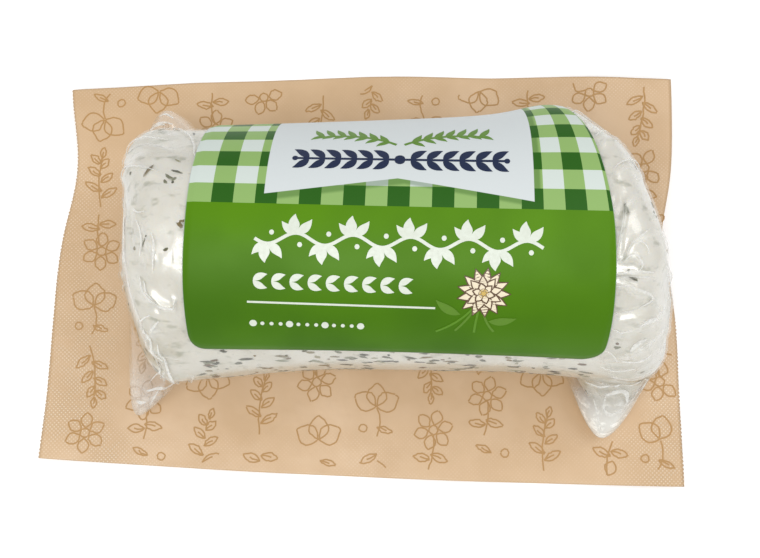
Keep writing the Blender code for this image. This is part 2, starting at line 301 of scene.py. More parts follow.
def sheetTop(x, y):
    # the solid sheet's upper face, plus noise that fades out under the log
    height, size = sheet["crinkle"]
    lower, smaller = sheet["fineCrinkle"]
    seed, fineSeed = sheet["seeds"][:2]
    alongRange, acrossRange = sheet["crinkleRange"]
    free = np.maximum(smoothStep(np.abs(x), *alongRange), smoothStep(np.abs(y), *acrossRange))
    rough = latticeNoise(x, y, size, seed) + lower * latticeNoise(x, y, size * smaller, fineSeed)
    return sheetLift(x, y) + sheet["thickness"] + height * free * rough


def sealStrength(x, y):
    # none inside the pocket, and outside it faint, but where it was pressed hard, by noise
    left, right, front, back = sheet["pocket"]
    soft, frontSoft = sheet["pocketSoft"]
    inside = (smoothStep(x - left, -soft, soft) * smoothStep(right - x, -soft, soft)
              * smoothStep(y - front, -frontSoft, frontSoft) * smoothStep(back - y, -soft, soft))
    pressed = [smoothStep(side * x, *alongRange) * (1 - loss * smoothStep(y, *acrossRange))
               for side, alongRange, loss, acrossRange in sheet["pressed"]]
    mean, swing, size = sheet["sealNoise"]
    uneven = mean + swing * latticeNoise(x, y, size, sheet["seeds"][2])
    faint = sheet["faintSeal"]
    return np.clip((1 - inside) * (faint + (1 - faint) * np.maximum(*pressed)) * uneven, 0, 1)


def makeBackingFilm():
    # a grid from edge to edge: each edge is a parabola through three values, drawn in at the
    # pinches and cut to teeth of |2t - 1|
    rows, columns = sheet["rows"], sheet["columns"]
    u, v = np.meshgrid(np.linspace(0, 1, columns), np.linspace(0, 1, rows))
    front, back = throughThree(sheet["front"], u), throughThree(sheet["back"], u)
    y = front + (back - front) * v
    left = throughThree(sheet["left"], v) + sheet["leftPinch"][0] * hill(y, *sheet["leftPinch"][1:])
    right = throughThree(sheet["right"], v)
    right = right - sheet["rightPinch"][0] * hill(y, *sheet["rightPinch"][1:])
    tooth = np.abs(2 * ((y / sheet["toothPitch"]) % 1) - 1) * sheet["toothDepth"]
    left = left + tooth * (u == 0)
    right = right - tooth * (u == 1) * smoothStep(-y, *sheet["toothRange"])
    x = left + (right - left) * u
    top = np.stack([x, y, sheetTop(x, y)], axis=-1)
    under = top - (0, 0, sheet["thickness"] * sheet["thinned"])
    under[..., 2] = np.maximum(under[..., 2], 0.0)
    points, faces = slab(top, under)
    return points, [faces], {"seal": np.tile(sealStrength(x, y).ravel(), 2)}


def backingLook():
    # satin tan film; the seal's dots are where two cosines at right angles add up: they are real bumps,
    # and their pale colour is a painted highlight
    look = Look("backing film", roughness=0.42, coatWeight=0.25, coatRoughness=0.3)
    x, y = look.axis("X"), look.axis("Y")
    turn = 2 * math.pi / (sheet["knurl"] * mm * math.sqrt(2))
    first = look.maths("COSINE", (x + y) * turn)
    second = look.maths("COSINE", (x - y) * turn)
    patchy = look.step(look.noise(1.3, 2.0), 0.34, 0.62)
    dots = look.step((first + second) * 0.5, 0.05, 0.9) * look.value("seal") * (0.35 + 0.75 * patchy)
    slow = look.step(look.noise(9.0, 3.0), 0.35, 0.7)
    grainSize, grainHeight = sheet["grain"]
    swellSize, swellHeight = sheet["swell"]
    ground = look.mix(slow * 0.3, sheet["colour"], sheet["deep"])
    shade = look.step(look.noise(24.0, 2.0), 0.36, 0.64)
    ground = look.mix(look.value("seal") * 0.25 + 0.3 * shade, ground, sheet["deep"])
    # painted highlight: the seal's dots are lightened towards the pale tan
    look.feed(baseColor=look.mix(dots * 0.78, ground, sheet["bright"]),
              roughness=0.34 + 0.16 * slow)
    look.bump(dots * sheet["knurlHeight"] + look.noise(grainSize) * grainHeight
              + look.noise(swellSize) * swellHeight)
    return look.material


points, faces, values = makeBackingFilm()
backing = addPiece("backingFilm", points, faces, backingLook(), "backing_film", values=values)
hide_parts("backing_sheet")


# Printed lines
def curve(start, end, bow=0.0, count=9):
    # a parabola from start to end, standing bow to the left of the straight line at its middle
    start, end = np.array(start, float), np.array(end, float)
    t = np.linspace(0, 1, count)[:, None]
    side = np.array([start[1] - end[1], end[0] - start[0]])
    side /= np.linalg.norm(side)
    return start + (end - start) * t + side * bow * 4 * t * (1 - t)


def ringLine(centre, radius, count=14):
    # points round a circle, the last on the first
    turn = np.linspace(0, 2 * math.pi, count)
    return np.array(centre) + radius * np.stack([np.cos(turn), np.sin(turn)], axis=1)


def leafLines(base, tip, width):
    # two bows that meet at both ends, and a vein
    middle = np.array(base) + 0.62 * (np.array(tip) - np.array(base))
    return [curve(base, tip, width), curve(base, tip, -width), curve(base, middle, 0.1, 4)]


def turned(lines, angle, scale, move):
    # each line turned about the origin, scaled and moved
    cosine, sine = math.cos(angle) * scale, math.sin(angle) * scale
    spin = np.array([[cosine, sine], [-sine, cosine]])
    return [line @ spin + move for line in lines]


def ribbons(strokes, place, raised, rise=0.0, sunk=0.05):
    # each stroke is a flat strip: its edges lie half a width to either side of its line, a
    # little above and below the surface that place gives, and its ends are closed; each later
    # stroke lies a hair higher, up to rise, where they cross
    points, faces, tints, start = [], [], [], 0
    for number, (line, half, tint) in enumerate(strokes):
        half = np.broadcast_to(half, len(line))[:, None]
        run = np.gradient(line, axis=0)
        run /= np.maximum(np.linalg.norm(run, axis=1, keepdims=True), 1e-9)
        side = np.stack([-run[:, 1], run[:, 0]], axis=1) * half
        edges = np.stack([line + side, line - side, line - side, line + side], axis=1)
        over = raised + rise * number / len(strokes)
        height = np.broadcast_to(np.array([over, over, -sunk, -sunk]), edges.shape[:2])
        ring = place(edges[..., 0], edges[..., 1], height)
        count = len(line)
        faces.append(gridQuads(count, 4, wrap=True) + start)
        last = 4 * (count - 1)
        faces.append(np.array([[0, 3, 2, 1], [last, last + 1, last + 2, last + 3]]) + start)
        points.append(ring.reshape(-1, 3))
        tints.append(np.broadcast_to(tint, (4 * count, 3)))
        start += 4 * count
    return np.concatenate(points), faces, np.concatenate(tints)


sheetInk = {
    "columns": (-7, 7),
    "rows": (-4, 5),
    "pitch": (10.4, 12.2),
    "start": (1.5, -1.0),
    "scale": 1.04,
    "swing": 0.22,  # how far a motif may turn, in radians, and shift
    "shift": 0.5,
    "shake": 0.05,  # unevenness of the drawn lines
    "raised": (0.02, 0.04),  # the first line over the sheet, and the last over the first
    "half": 0.135,
    "colour": fromScreen(182, 140, 84),
    "seed": 5,
    "hidden": (-30.0, 41.0, -13.0, 14.0),  # nothing is printed where the log covers it
    "sides": (0.2, 56.6),  # middle and half width of the printed field
    "frontMargin": 1.6,
    "frontFall": (2.2, 57.0, -0.9, 1.5),  # the front edge slopes: rise, its length and limits
    "backMargin": 1.8,
}


def sprigMotif():
    # a stem with three pairs of leaves, shorter upwards, and one at its top
    lines = [curve((0, -5.2), (0.5, 4.0), 0.5, 12)]
    for height, side in ((-3.4, 1), (-2.2, -1), (-0.6, 1), (0.7, -1), (2.1, 1), (3.0, -1)):
        reach = 2.9 - 0.22 * (height + 3.4)
        lines += leafLines((0.1, height), (side * reach, height + 1.7), 0.62)
    return lines + leafLines((0.5, 4.0), (0.9, 6.0), 0.5)


def blossomMotif():
    # six petals round a ring, on a stem with two leaves
    lines = [ringLine((0, 1.6), 0.8, 10), curve((0, 0.7), (-0.6, -5.2), 0.4, 9)]
    for turn in range(6):
        angle = turn * math.pi / 3 + 0.3
        lines += turned([curve((0.9, 0), (3.5, 0.05), 0.95, 8),
                         curve((0.9, 0), (3.5, -0.05), -0.95, 8)], angle, 1.0, (0, 1.6))
    leaves = leafLines((-0.3, -2.6), (2.7, -3.6), 0.7) + leafLines((-0.4, -3.4), (-3.3, -3.0), 0.7)
    return lines + leaves


def cloverMotif():
    # three broad leaves on a stem, with a small leaf and a bud
    lines = [curve((0.2, -5.0), (0, 0), -0.7, 9)]
    leaf = [curve((0.2, 0), (4.0, 0.5), 1.5, 10), curve((0.2, 0), (4.0, -0.5), -1.5, 10),
            curve((4.0, 0.5), (4.0, -0.5), 0.3, 4)]
    for angle in (0.5, 1.57, 2.64):
        lines += turned(leaf, angle, 1.0, (0, 0))
    return lines + leafLines((0.2, -3.4), (3.0, -4.2), 0.5) + [ringLine((-2.2, -3.6), 0.7, 10)]


def fitsSheet(line):
    # the whole line is inside the margins, of which the front one slopes as its edge does
    x, y = line.T
    middle, half = sheetInk["sides"]
    rise, length, low, high = sheetInk["frontFall"]
    front = throughThree(sheet["front"], 0.5) + sheetInk["frontMargin"]
    back = throughThree(sheet["back"], 0.5) - sheetInk["backMargin"]
    above = y > front + rise * np.clip(-x / length, low, high)
    return np.all(above & (y < back) & (np.abs(x - middle) < half))


def sheetStrokes():
    # the three motifs in staggered columns, every other one upside down
    ink = sheetInk
    draw = np.random.default_rng(ink["seed"])
    (wide, tall), (startX, startY) = ink["pitch"], ink["start"]
    lowX, highX, lowY, highY = ink["hidden"]
    motifs = (sprigMotif(), blossomMotif(), cloverMotif())
    strokes = []
    for column in range(*ink["columns"]):
        for row in range(*ink["rows"]):
            centre = np.array([column * wide + startX, (row + 0.5 * (column % 2)) * tall + startY])
            if lowX < centre[0] < highX and lowY < centre[1] < highY:
                continue
            angle = math.pi * ((row + column) % 2) + draw.uniform(-ink["swing"], ink["swing"])
            centre = centre + draw.uniform(-ink["shift"], ink["shift"], 2)
            for line in turned(motifs[(column + 2 * row) % 3], angle, ink["scale"], centre):
                line = line + draw.normal(0, ink["shake"], line.shape)
                if fitsSheet(line):
                    strokes.append((line, ink["half"], ink["colour"]))
    return strokes


def inkLook(name, roughness):
    # the strokes' own colours, darker in small blots
    look = Look(name, roughness=roughness)
    blot = look.step(look.noise(0.6, 2.0), 0.3, 0.75)
    look.feed(baseColor=look.mix(blot * 0.3, look.colour("ink"), (0.78, 0.76, 0.72), "MULTIPLY"),
              roughness=roughness + 0.08 * blot)
    return look.material


points, faces, tints = ribbons(
    sheetStrokes(), lambda x, y, out: np.stack([x, y, sheetTop(x, y) + out], axis=-1),
    *sheetInk["raised"])
addPiece("sheetPrint", points, faces, inkLook("brown print", 0.45), "backing_film",
         colours={"ink": tints}, smooth=False)


# The log's own surface
log = {
    "left": -40.3,
    "right": 50.6,
    "leftRadius": 19.75,
    "rightRadius": 21.7,
    "radius": 20.5,
    "leftShoulder": 6.0,
    "rightShoulder": 7.0,
    "dome": 1.3,
    "sink": 0.9,
    "taper": 1.5,  # the radius grows with this power of the way along
    "backBulge": (0.9, 32.0, 9.0, math.radians(72), 0.6),  # height, place and spread, along and round
    "slant": (0.0125, -10.0, 1.6, 20.0, 46.8),  # factor, crest along Y, power, and range along X
    "leftSlant": (0.27, -7.0, 4.0, -24.0, -38.0),  # factor, crest, softness, and its range along X
    "leans": ((0.22, -25.0, -33.0, 4.0), (-0.29, 35.0, 44.0, 4.2)),  # slope, start, whole, most
    "leanBack": (0.6, 2.0, 16.0),  # loss of it towards the back, and the range
    "foot": (5.2, 136.0, 13.0),  # reach in mm, direction and spread in degrees
    "flares": ((2.2, -2.0, -34.0), (1.3, 22.0, 44.0)),  # front flank: size, start, whole
    "flareTurn": (-100.0, 32.0),  # direction and spread in degrees
    "pleats": (0.55, ((5, 0.6), (9, 2.1), (14, 4.0))),  # depth, and number and shift of each
    "pleatRange": ((1.0, 12.0), (0.15, 0.8)),  # past the label, and outwards on the end faces
    "base": 0.65,
    "clear": (0.25, 0.5),  # height over the sheet, and how softly it is kept
    "earRange": (0.3, 0.9),  # they grow outwards on the end faces between these
    # centre along X and degrees from the top, pull along X, Y and Z, reach along and round
    "ears": {
        "frontLeft": ((-35.5, -126), (-6.0, -9.0, -3.5), (6.5, 22)),
        "frontRight": ((44.2, -122), (-5.5, -12.0, -4.8), (10.0, 26)),
        "backLeft": ((-33.0, 108), (-2.6, 10.8, -4.5), (8.5, 24)),
        "backRight": ((42.0, 116), (0.0, 3.2, -2.5), (9.0, 22)),
    },
}
label = {
    "length": 60.0,  # of the pattern; the edges run a little past it
    "edges": (-30.5, 31.0),
    "spread": (0.5, 0.9, 1.0),  # it reaches further at the front left, front right and back right
    "spreadAround": ((2.0, 18.0), (3.0, 22.0)),  # growing towards the front and the back
    "spreadAlong": ((15.0, 30.0), (5.0, 30.0)),  # and towards the left and the right
    "centre": 5.2,
    "front": -22.1,
    "frontDrop": (0.4, 28.0),  # the front edge runs lower by this, at this far to the right
    "back": 28.5,
    "corner": 3.4,
    "skew": math.radians(2.9),
    "under": 0.06,
    "over": 0.40,
    "rim": (0.22, 1.2),  # thinner by this at its edges, over this width
    "crowd": 0.86,  # columns stand closer together towards the edges, fully so at 1
    "rows": 130,
    "columns": 150,
}

# along the outline: left end face, left shoulder, side, right shoulder, right end face
faceLengths = (
    log["radius"] - log["leftShoulder"],
    log["leftShoulder"] * math.pi / 2,
    log["right"] - log["left"] - log["leftShoulder"] - log["rightShoulder"] - 2 * log["dome"],
    log["rightShoulder"] * math.pi / 2,
    log["radius"] - log["rightShoulder"],
)
outlineLength = sum(faceLengths)
# a station is a distance along the outline from the left pole; the label covers these
labelStart, labelStop = [label["centre"] + side * label["length"] / 2 + faceLengths[0] + faceLengths[1]
                         - (log["left"] + log["dome"] + log["leftShoulder"]) for side in (-1, 1)]


def ramp(value, start, stop):
    return np.clip((value - start) / (stop - start), 0, 1)


def radiusAt(x, angle):
    # grows along the log, with one soft bulge behind the label
    share = ramp(x, log["left"], log["right"])
    height, centre, spread, direction, wide = log["backBulge"]
    bulge = height * hill(x, centre, spread) * hill(angle, direction, wide)
    return log["leftRadius"] + (log["rightRadius"] - log["leftRadius"]) * share ** log["taper"] + bulge


def halfOutline(station):
    # a low parabola over each end face, a quarter turn at each shoulder and a straight side
    leftFace, leftTurn, side = faceLengths[:3]

    def end(distance, face, shoulder):
        turn = np.clip((distance - face) / shoulder, 0, math.pi / 2)
        flat = np.minimum(distance, face)
        inward = shoulder * (1 - np.cos(turn)) + log["dome"] * (flat / face) ** 2 - log["dome"]
        return inward, flat + shoulder * np.sin(turn)

    fromLeft, leftReach = end(station, leftFace, log["leftShoulder"])
    fromRight, rightReach = end(outlineLength - station, faceLengths[-1], log["rightShoulder"])
    run = np.clip(station - leftFace - leftTurn, 0, side)
    onRight = station > leftFace + leftTurn + side
    x = np.where(onRight, log["right"] - log["dome"] - fromRight,
                 log["left"] + log["dome"] + fromLeft + run)
    return x, np.where(onRight, rightReach, leftReach) / log["radius"]


def earHooks(x, share, angle):
    # one smooth bump for each ear: (1 - r^2)^2, r the distance along and round over its spreads
    for name, ((centre, direction), pull, (along, wide)) in log["ears"].items():
        turn = np.degrees(turnFrom(angle, math.radians(direction)))
        far = ((x - centre) / along) ** 2 + (turn / wide) ** 2
        yield name, pull, np.clip(1 - far, 0, 1) ** 2 * smoothStep(share, *log["earRange"])


def bodyPoint(x, share, angle, out=0.0, feet=1.0, ears=None):
    # a circle of its own radius at every x, moved by feet, pleats, the ends' slant and lean,
    # and the ears, and kept above the sheet
    radius = radiusAt(x, angle)
    reach, direction, spread = log["foot"]
    foot = sum(hill(turnFrom(angle, math.radians(side * direction)), 0, math.radians(spread))
               for side in (-1, 1))
    depth, pleats = log["pleats"]
    pleat = sum(np.cos(count * angle + phase) for count, phase in pleats) / len(pleats)
    alongRange, outRange = log["pleatRange"]
    past = np.abs(x - label["centre"]) - label["length"] / 2
    edge = smoothStep(past, *alongRange) * smoothStep(share, *outRange)
    flare = sum(size * smoothStep(x, begins, whole) for size, begins, whole in log["flares"])
    toward, spread = log["flareTurn"]
    flare = flare * hill(turnFrom(angle, math.radians(toward)), 0, math.radians(spread))
    reach = share * (radius + reach * foot * feet + flare) + depth * pleat * edge + out
    y = reach * np.sin(angle)
    z = log["base"] + radius - log["sink"] + reach * np.cos(angle)
    slant, crest, power, start, stop = log["slant"]
    moved = x - slant * np.maximum(y - crest, 0) ** 2 * ramp(x, start, stop) ** power
    slant, crest, softness, start, stop = log["leftSlant"]
    moved = moved + slant * softMax(crest - y, 0, softness) * ramp(x, start, stop)
    for slope, begins, whole, limit in log["leans"]:
        lean = np.minimum(abs(slope) * (z - log["radius"]), limit) * np.sign(slope)
        easing, near, far = log["leanBack"]
        lean = lean * (1 - easing * smoothStep(y, near, far))
        moved = moved + lean * smoothStep(x, begins, whole)
    for name, pull, hook in earHooks(x, share, angle):
        hook = hook * (ears or {}).get(name, 1.0)
        moved, y, z = moved + pull[0] * hook, y + pull[1] * hook, z + pull[2] * hook
    height, softness = log["clear"]
    z = softMax(z, log["base"] + height + sheetLift(moved, y), softness)
    return np.stack([moved, y, z], axis=-1)


# folds of the film at each end: height, width, lean to one side, and the line that each
# follows, as distances from the end's middle and degrees round from the top
rightFolds = (
    (0.55, 0.7, 0.4, ((31.0, -19), (29.4, -8), (24.9, 3), (21, 8))),
    (0.30, 0.5, 0.0, ((31.0, -14), (30.1, -7), (26.7, 1))),
    (0.45, 0.8, 0.5, ((30.7, -19), (24.6, -11), (22.8, -9), (19, -8))),
    (0.50, 0.7, 0.3, ((29.2, -18), (24.6, -16), (23.3, -19), (24.0, -22))),
    (0.45, 0.6, 0.5, ((31.0, -22.5), (28.7, -22), (24.0, -23), (20.5, -24))),
    (-0.35, 0.5, 0.0, ((30.6, -24.5), (23.9, -26), (20, -26))),
    (0.60, 0.8, 0.6, ((30.9, -27), (28.3, -26), (24.9, -29), (21.6, -32), (21.1, -34))),
    (-0.55, 0.7, 0.0, ((21.1, -35), (22.6, -38.5), (24.8, -39.5), (30.5, -41))),
    (0.50, 1.0, 0.0, ((24.0, -43), (19.0, -44), (16, -44))),
    (-0.35, 0.8, 0.0, ((27.0, -49), (21.5, -49), (17, -50))),
    (0.45, 1.0, 0.3, ((26.0, -60), (21.5, -57), (16, -55))),
    (0.45, 0.8, 0.4, ((33.7, -64), (30.7, -65), (25.7, -62), (21.6, -61))),
    (0.40, 0.9, 0.0, ((27.0, 14), (20.0, 22), (13, 30))),
    (0.45, 0.9, 0.4, ((29.0, 30), (22.0, 36), (15, 48))),
    (-0.40, 0.8, 0.0, ((29.0, 46), (21.0, 55), (14, 62))),
    (0.45, 0.9, 0.0, ((28.0, 66), (20.0, 72), (12, 80))),
    (0.40, 0.9, 0.3, ((18.0, -22), (12.0, -35), (6, -60))),
    (0.40, 0.9, 0.0, ((17.0, -62), (11.0, -80), (6, -110))),
    (0.50, 1.0, 0.3, ((29.0, -78), (24.0, -80), (18, -84))),
    (-0.45, 0.8, 0.0, ((29.0, -88), (24.0, -90), (17, -95))),
    (0.45, 0.8, 0.3, ((30.5, -98), (25.0, -100), (19, -104))),
    (0.50, 0.8, 0.0, ((28.5, -106), (25.0, -104), (21, -108))),
    (0.40, 1.0, 0.0, ((27.0, 95), (20.0, 100), (12, 112))),
    (0.40, 1.0, 0.3, ((26.0, 125), (19.0, 128), (11, 140))),
    (0.40, 1.0, 0.0, ((26.0, -140), (19.0, -142), (11, -150))),
)
leftFolds = (
    (0.55, 0.7, 0.4, ((17.0, 16), (17.6, -5), (17.6, -18), (19.3, -47), (21.4, -72))),
    (-0.35, 0.5, 0.0, ((18.7, 10), (19.1, -11), (20.1, -23))),
    (-0.50, 0.7, 0.3, ((19.9, 2), (20.6, -7), (20.3, -15), (21.0, -23))),
    (0.50, 0.7, 0.4, ((21.7, -7), (23.2, -13), (22.8, -19))),
    (-0.30, 0.5, 0.0, ((22.3, -13), (22.6, -17))),
    (0.55, 0.7, 0.6, ((20.3, -29), (21.8, -32), (23.2, -37), (25.9, -38), (27.1, -35), (25.0, -32))),
    (-0.45, 0.6, 0.0, ((19.7, -39), (22.0, -37), (23.5, -41))),
    (0.50, 0.7, 0.5, ((19.2, -49), (20.7, -54), (22.6, -46))),
    (0.50, 0.8, 0.4, ((20.7, -54), (21.8, -71), (24.6, -90))),
    (0.40, 0.9, 0.0, ((24.0, 22), (20.0, 30), (13, 40))),
    (0.45, 0.9, 0.4, ((28.0, 36), (22.0, 44), (14, 56))),
    (-0.40, 0.8, 0.0, ((27.0, 56), (21.0, 62), (13, 74))),
    (0.45, 0.9, 0.0, ((27.0, 76), (20.0, 82), (12, 90))),
    (0.40, 0.9, 0.3, ((16.0, -10), (11.0, -30), (6, -60))),
    (-0.40, 0.9, 0.0, ((18.0, -60), (12.0, -75), (6, -110))),
    (0.50, 0.9, 0.3, ((27.0, -66), (22.0, -62), (17, -58))),
    (0.45, 0.8, 0.3, ((27.5, -84), (23.0, -84), (17, -80))),
    (-0.40, 0.8, 0.0, ((27.5, -96), (23.0, -98), (17, -96))),
    (0.40, 1.0, 0.0, ((26.0, 105), (20.0, 108), (12, 116))),
    (0.40, 1.0, 0.0, ((26.0, -140), (19.0, -142), (11, -150))),
)


def lineDistance(p, q, line):
    # signed distance to the nearest of a line's straight runs, and how far along it that is
    spans = np.linalg.norm(np.diff(line, axis=0), axis=1)
    before = np.concatenate([[0], np.cumsum(spans)])
    best, share = np.full(p.shape, 1e6), np.zeros(p.shape)
    for index, (start, end) in enumerate(zip(line[:-1], line[1:])):
        run = (end - start) / spans[index]
        along = (p - start[0]) * run[0] + (q - start[1]) * run[1]
        aside = (q - start[1]) * run[0] - (p - start[0]) * run[1]
        inside = np.clip(along, 0, spans[index])
        far = np.hypot(along - inside, aside) * np.where(aside < 0, -1, 1)
        closer = np.abs(far) < np.abs(best)
        best = np.where(closer, far, best)
        share = np.where(closer, (before[index] + inside) / before[-1], share)
    return best, share


wrinkles = {
    "starts": (-0.02, 0.2),  # a fold rises and ends over these shares of its line
    "stops": (0.75, 1.02),
    "lean": 1.5,
    "glint": 1.8,  # the bright part is narrower than the fold by this
    "bend": (1.6, 6.0, 0.4),  # swing and size of what bends the facets, and its share
    "facets": ((0.3, 3.4), (1.4, 4.1), (2.5, 3.7)),  # direction and size
    "mean": 0.75,
    # left end and right end: the stations where its wrinkles fade out; the taut rim's station,
    # spread and loss; the folds' share that it spares; height and seed of the facets
    "ends": (
        (leftFolds, (26.0, 31.0), (16.5, 3.0, 0.75), 0.5, 0.22, 11),
        (rightFolds, (29.0, 34.0), (19.0, 4.0, 0.8), 0.3, 0.16, 12),
    ),
}


def flatLine(polar, mirror=1):
    # from distances and degrees to distance x sine and distance x cosine
    distance, turn = np.array(polar, float).T
    turn = np.radians(turn)
    return np.stack([mirror * distance * np.sin(turn), distance * np.cos(turn)], axis=1)


def foldHeight(rho, angle, folds):
    # each fold is a rounded ridge e^(-d^2), tilted by its lean, that fades out at its two ends
    p, q = rho * np.sin(angle), rho * np.cos(angle)
    total, glint = np.zeros(p.shape), np.zeros(p.shape)
    for height, width, lean, polar in folds:
        far, share = lineDistance(p, q, flatLine(polar))
        fade = smoothStep(share, *wrinkles["starts"]) * (1 - smoothStep(share, *wrinkles["stops"]))
        side = far / width
        total += height * fade * np.exp(-side**2) * (1 - wrinkles["lean"] * lean * side)
        glint += np.abs(height) * fade * np.exp(-(side * wrinkles["glint"]) ** 2)
    return total, glint


def crumple(rho, angle, seed):
    # flat facets between sharp edges: the largest of a few noises, each a tilted plane wave
    p, q = rho * np.sin(angle), rho * np.cos(angle)
    swing, cell, share = wrinkles["bend"]
    bent = swing * latticeNoise(p, q, cell, seed) * share
    waves = [np.abs(((p * math.cos(turn) + q * math.sin(turn)) / size + bent + turn) % 2 - 1)
             for turn, size in wrinkles["facets"]]
    return np.max(waves, axis=0) - wrinkles["mean"]


def endWrinkles(station, angle):
    # folds and facets of both ends, less of them round the taut rims, and the folds' glint
    height, glint = 0.0, 0.0
    for end, far in zip(wrinkles["ends"], (station, outlineLength - station)):
        folds, fadeOut, (rim, spread, loss), spared, size, seed = end
        shown = 1 - smoothStep(far, *fadeOut)
        taut = 1 - loss * hill(far, rim, spread)
        folded, bright = foldHeight(far, angle, folds)
        folded = folded * (spared + (1 - spared) * taut)
        height = height + (folded + size * crumple(far, angle, seed) * taut) * shown
        glint = glint + bright * shown
    return height, glint


def skin(station, angle, lift, wrinkle, feet, ears):
    # the body's point, moved along its own normal by lift and a share of the wrinkles
    def bare(s, a):
        x, share = halfOutline(s)
        return bodyPoint(x, share, a, 0.0, feet, ears)
    small = 0.02  # in mm, and about as far round at a radius of 20
    point = bare(station, angle)
    normal = np.cross(bare(station + small, angle) - bare(station - small, angle),
                      bare(station, angle + small / 20) - bare(station, angle - small / 20))
    normal /= np.maximum(np.linalg.norm(normal, axis=-1, keepdims=True), 1e-9)
    height, glint = endWrinkles(station, angle)
    return point + normal * (lift + wrinkle * height)[..., None], glint, normal


def stations(step, middle, nearest=0.5):
    # close together on the ends and wider apart under the label, and not at the poles
    return np.concatenate([
        np.linspace(nearest, labelStart, int(labelStart / step), endpoint=False),
        np.linspace(labelStart, labelStop, int(label["length"] / middle), endpoint=False),
        np.linspace(labelStop, outlineLength - nearest, int((outlineLength - labelStop) / step)),
    ])


def logGrid(settings):
    # stations down, angles across, as fine as a piece's settings say
    around = np.linspace(0, 2 * math.pi, settings["around"], endpoint=False)
    return stations(settings["step"], settings["middle"])[:, None], around[None, :]


def closedLog(rings):
    # rings from pole to pole, and a fan of triangles to the middle of the first and last
    rows, columns = rings.shape[:2]
    count, last = rows * columns, (rows - 1) * columns
    wall = gridQuads(rows, columns, wrap=True)[:, ::-1]
    column = np.arange(columns)
    beside = (column + 1) % columns
    left = np.stack([np.full(columns, count), column, beside], axis=1)
    right = np.stack([np.full(columns, count + 1), last + beside, last + column], axis=1)
    ends = np.stack([rings[0].mean(axis=0), rings[-1].mean(axis=0)])
    return np.concatenate([rings.reshape(-1, 3), ends]), [wall, left, right]


# Cheese
cheese = {
    "step": 0.52,
    "middle": 1.6,
    "around": 280,
    "lift": -0.32,  # it lies this far inside the film, and follows these shares of its
    "wrinkle": 0.85,  # wrinkles, feet and ears
    "feet": 0.12,
    "ears": {"frontLeft": 0.18, "frontRight": 0.72, "backLeft": 0.2, "backRight": 0.5},
    "colour": (0.745, 0.725, 0.655),
    # darker tone for the random cloud, and for the painted shade on the lower flanks
    "shade": (0.52, 0.49, 0.40),
    "speck": fromScreen(140, 142, 118),
    "paintedShadeRange": (0.020, 0.040),  # painted shade: full below the first height in metres, none above the second
    "under": (1.0, 0.8, 0.55),  # how far red, green and blue light spread in it
    "pits": (0.7, 0.05),  # size and height
}


def cheesePoint(station, angle):
    # its surface, the folds' glint and its normal
    return skin(station, angle, cheese["lift"], cheese["wrinkle"], cheese["feet"], cheese["ears"])


def makeCheese():
    return closedLog(cheesePoint(*logGrid(cheese))[0])


def cheeseLook():
    # white, a little see-through, with deep specks, and its lower flanks darkened by painted shade
    look = Look("soft cheese", roughness=0.38, coatWeight=0.5, coatRoughness=0.24,
                subsurfaceWeight=0.3, subsurfaceScale=0.0025)
    look.shader.inputs["Subsurface Radius"].default_value = cheese["under"]
    cloud = look.step(look.noise(6.0, 3.0), 0.4, 0.75)
    specks = look.step(look.noise(1.5, 2.0, 0.55, (1.8, 1, 1)), 0.54, 0.76)
    size, height = cheese["pits"]
    # painted shade: darker towards the sheet, where less light reaches the flanks
    low = 1 - look.step(look.axis("Z"), *cheese["paintedShadeRange"])
    ground = look.mix(cloud * 0.35 + low * 0.85, cheese["colour"], cheese["shade"])
    look.feed(baseColor=look.mix(specks * 0.55, ground, cheese["speck"]),
              roughness=0.30 + 0.12 * cloud)
    look.bump(look.noise(size, 3.0) * height)
    return look.material


piece = addPiece("cheese", *makeCheese(), cheeseLook(), "cheese")
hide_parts("wrapped_log")


# Herb flakes
herbs = {
    "seed": 21,
    "length": (0.7, 1.75),  # half of it, pale rim included
    "width": (0.34, 0.60),
    "sizes": (0.6, 0.85, 1.0),
    "endSize": (0.72, 0.80),  # length and width of those on the ends
    "crumb": 3,  # every third flake is a crumb beside the one before it
    "crumbSize": (0.42, 0.7),
    "crumbShift": (1.1, 0.035),  # mm along and radians round
    "rise": (0.02, 0.12),
    "sunk": (0.03, 0.3),  # the belt and the bottom, below the cheese's surface
    "uneven": (0.6, 1.2),
    "core": (0.42, 0.78),  # of the way to the belt
    "coreRise": 0.6,
    "corners": 9,
    "fade": (0.8, 2.2),  # most that one fades, and the power that keeps this rare
    "rim": 0.6,  # share of the cheese's colour in a flake's rim
    # from and to along the log and round it in degrees, number, and spread of the direction
    "zones": (
        (labelStart, labelStop, -100, -62, 190, 0.3),  # front strip: lengthwise
        (labelStart, labelStop, 86, 104, 50, 0.4),
        (5.0, labelStart, -104, 104, 78, 1.0),
        (labelStop, outlineLength - 5.0, -38, 104, 32, 1.0),
        (labelStop, labelStop + 12.0, -104, -38, 9, 0.6),
        (labelStart - 6.0, labelStop + 6.0, -152, -100, 105, 0.5),  # flanks, down to the sheet
        (labelStart - 6.0, labelStop + 6.0, 104, 150, 85, 0.5),
        (1.5, 18.0, 110, 250, 18, 1.5),
        (outlineLength - 18.0, outlineLength - 1.5, 110, 250, 18, 1.5),
    ),
    "tints": (fromScreen(54, 54, 22), fromScreen(36, 36, 14), fromScreen(76, 72, 24),
              fromScreen(46, 48, 22), fromScreen(108, 88, 34), fromScreen(92, 66, 30)),
    "pale": fromScreen(166, 168, 140),
}


def flakeFaces(corners, count):
    # triangles of one flake (belt to core, core to top, belt to bottom), repeated for each
    corner = np.arange(corners)
    beside = (corner + 1) % corners
    top, bottom = np.full(corners, 2 * corners), np.full(corners, 2 * corners + 1)
    cell = np.concatenate([np.stack(each, axis=1) for each in (
        (corner, beside, corner + corners), (beside, beside + corners, corner + corners),
        (corner + corners, beside + corners, top), (beside, corner, bottom))])
    start = (2 * corners + 2) * np.arange(count)
    return (cell[None] + start[:, None, None]).reshape(-1, 3)


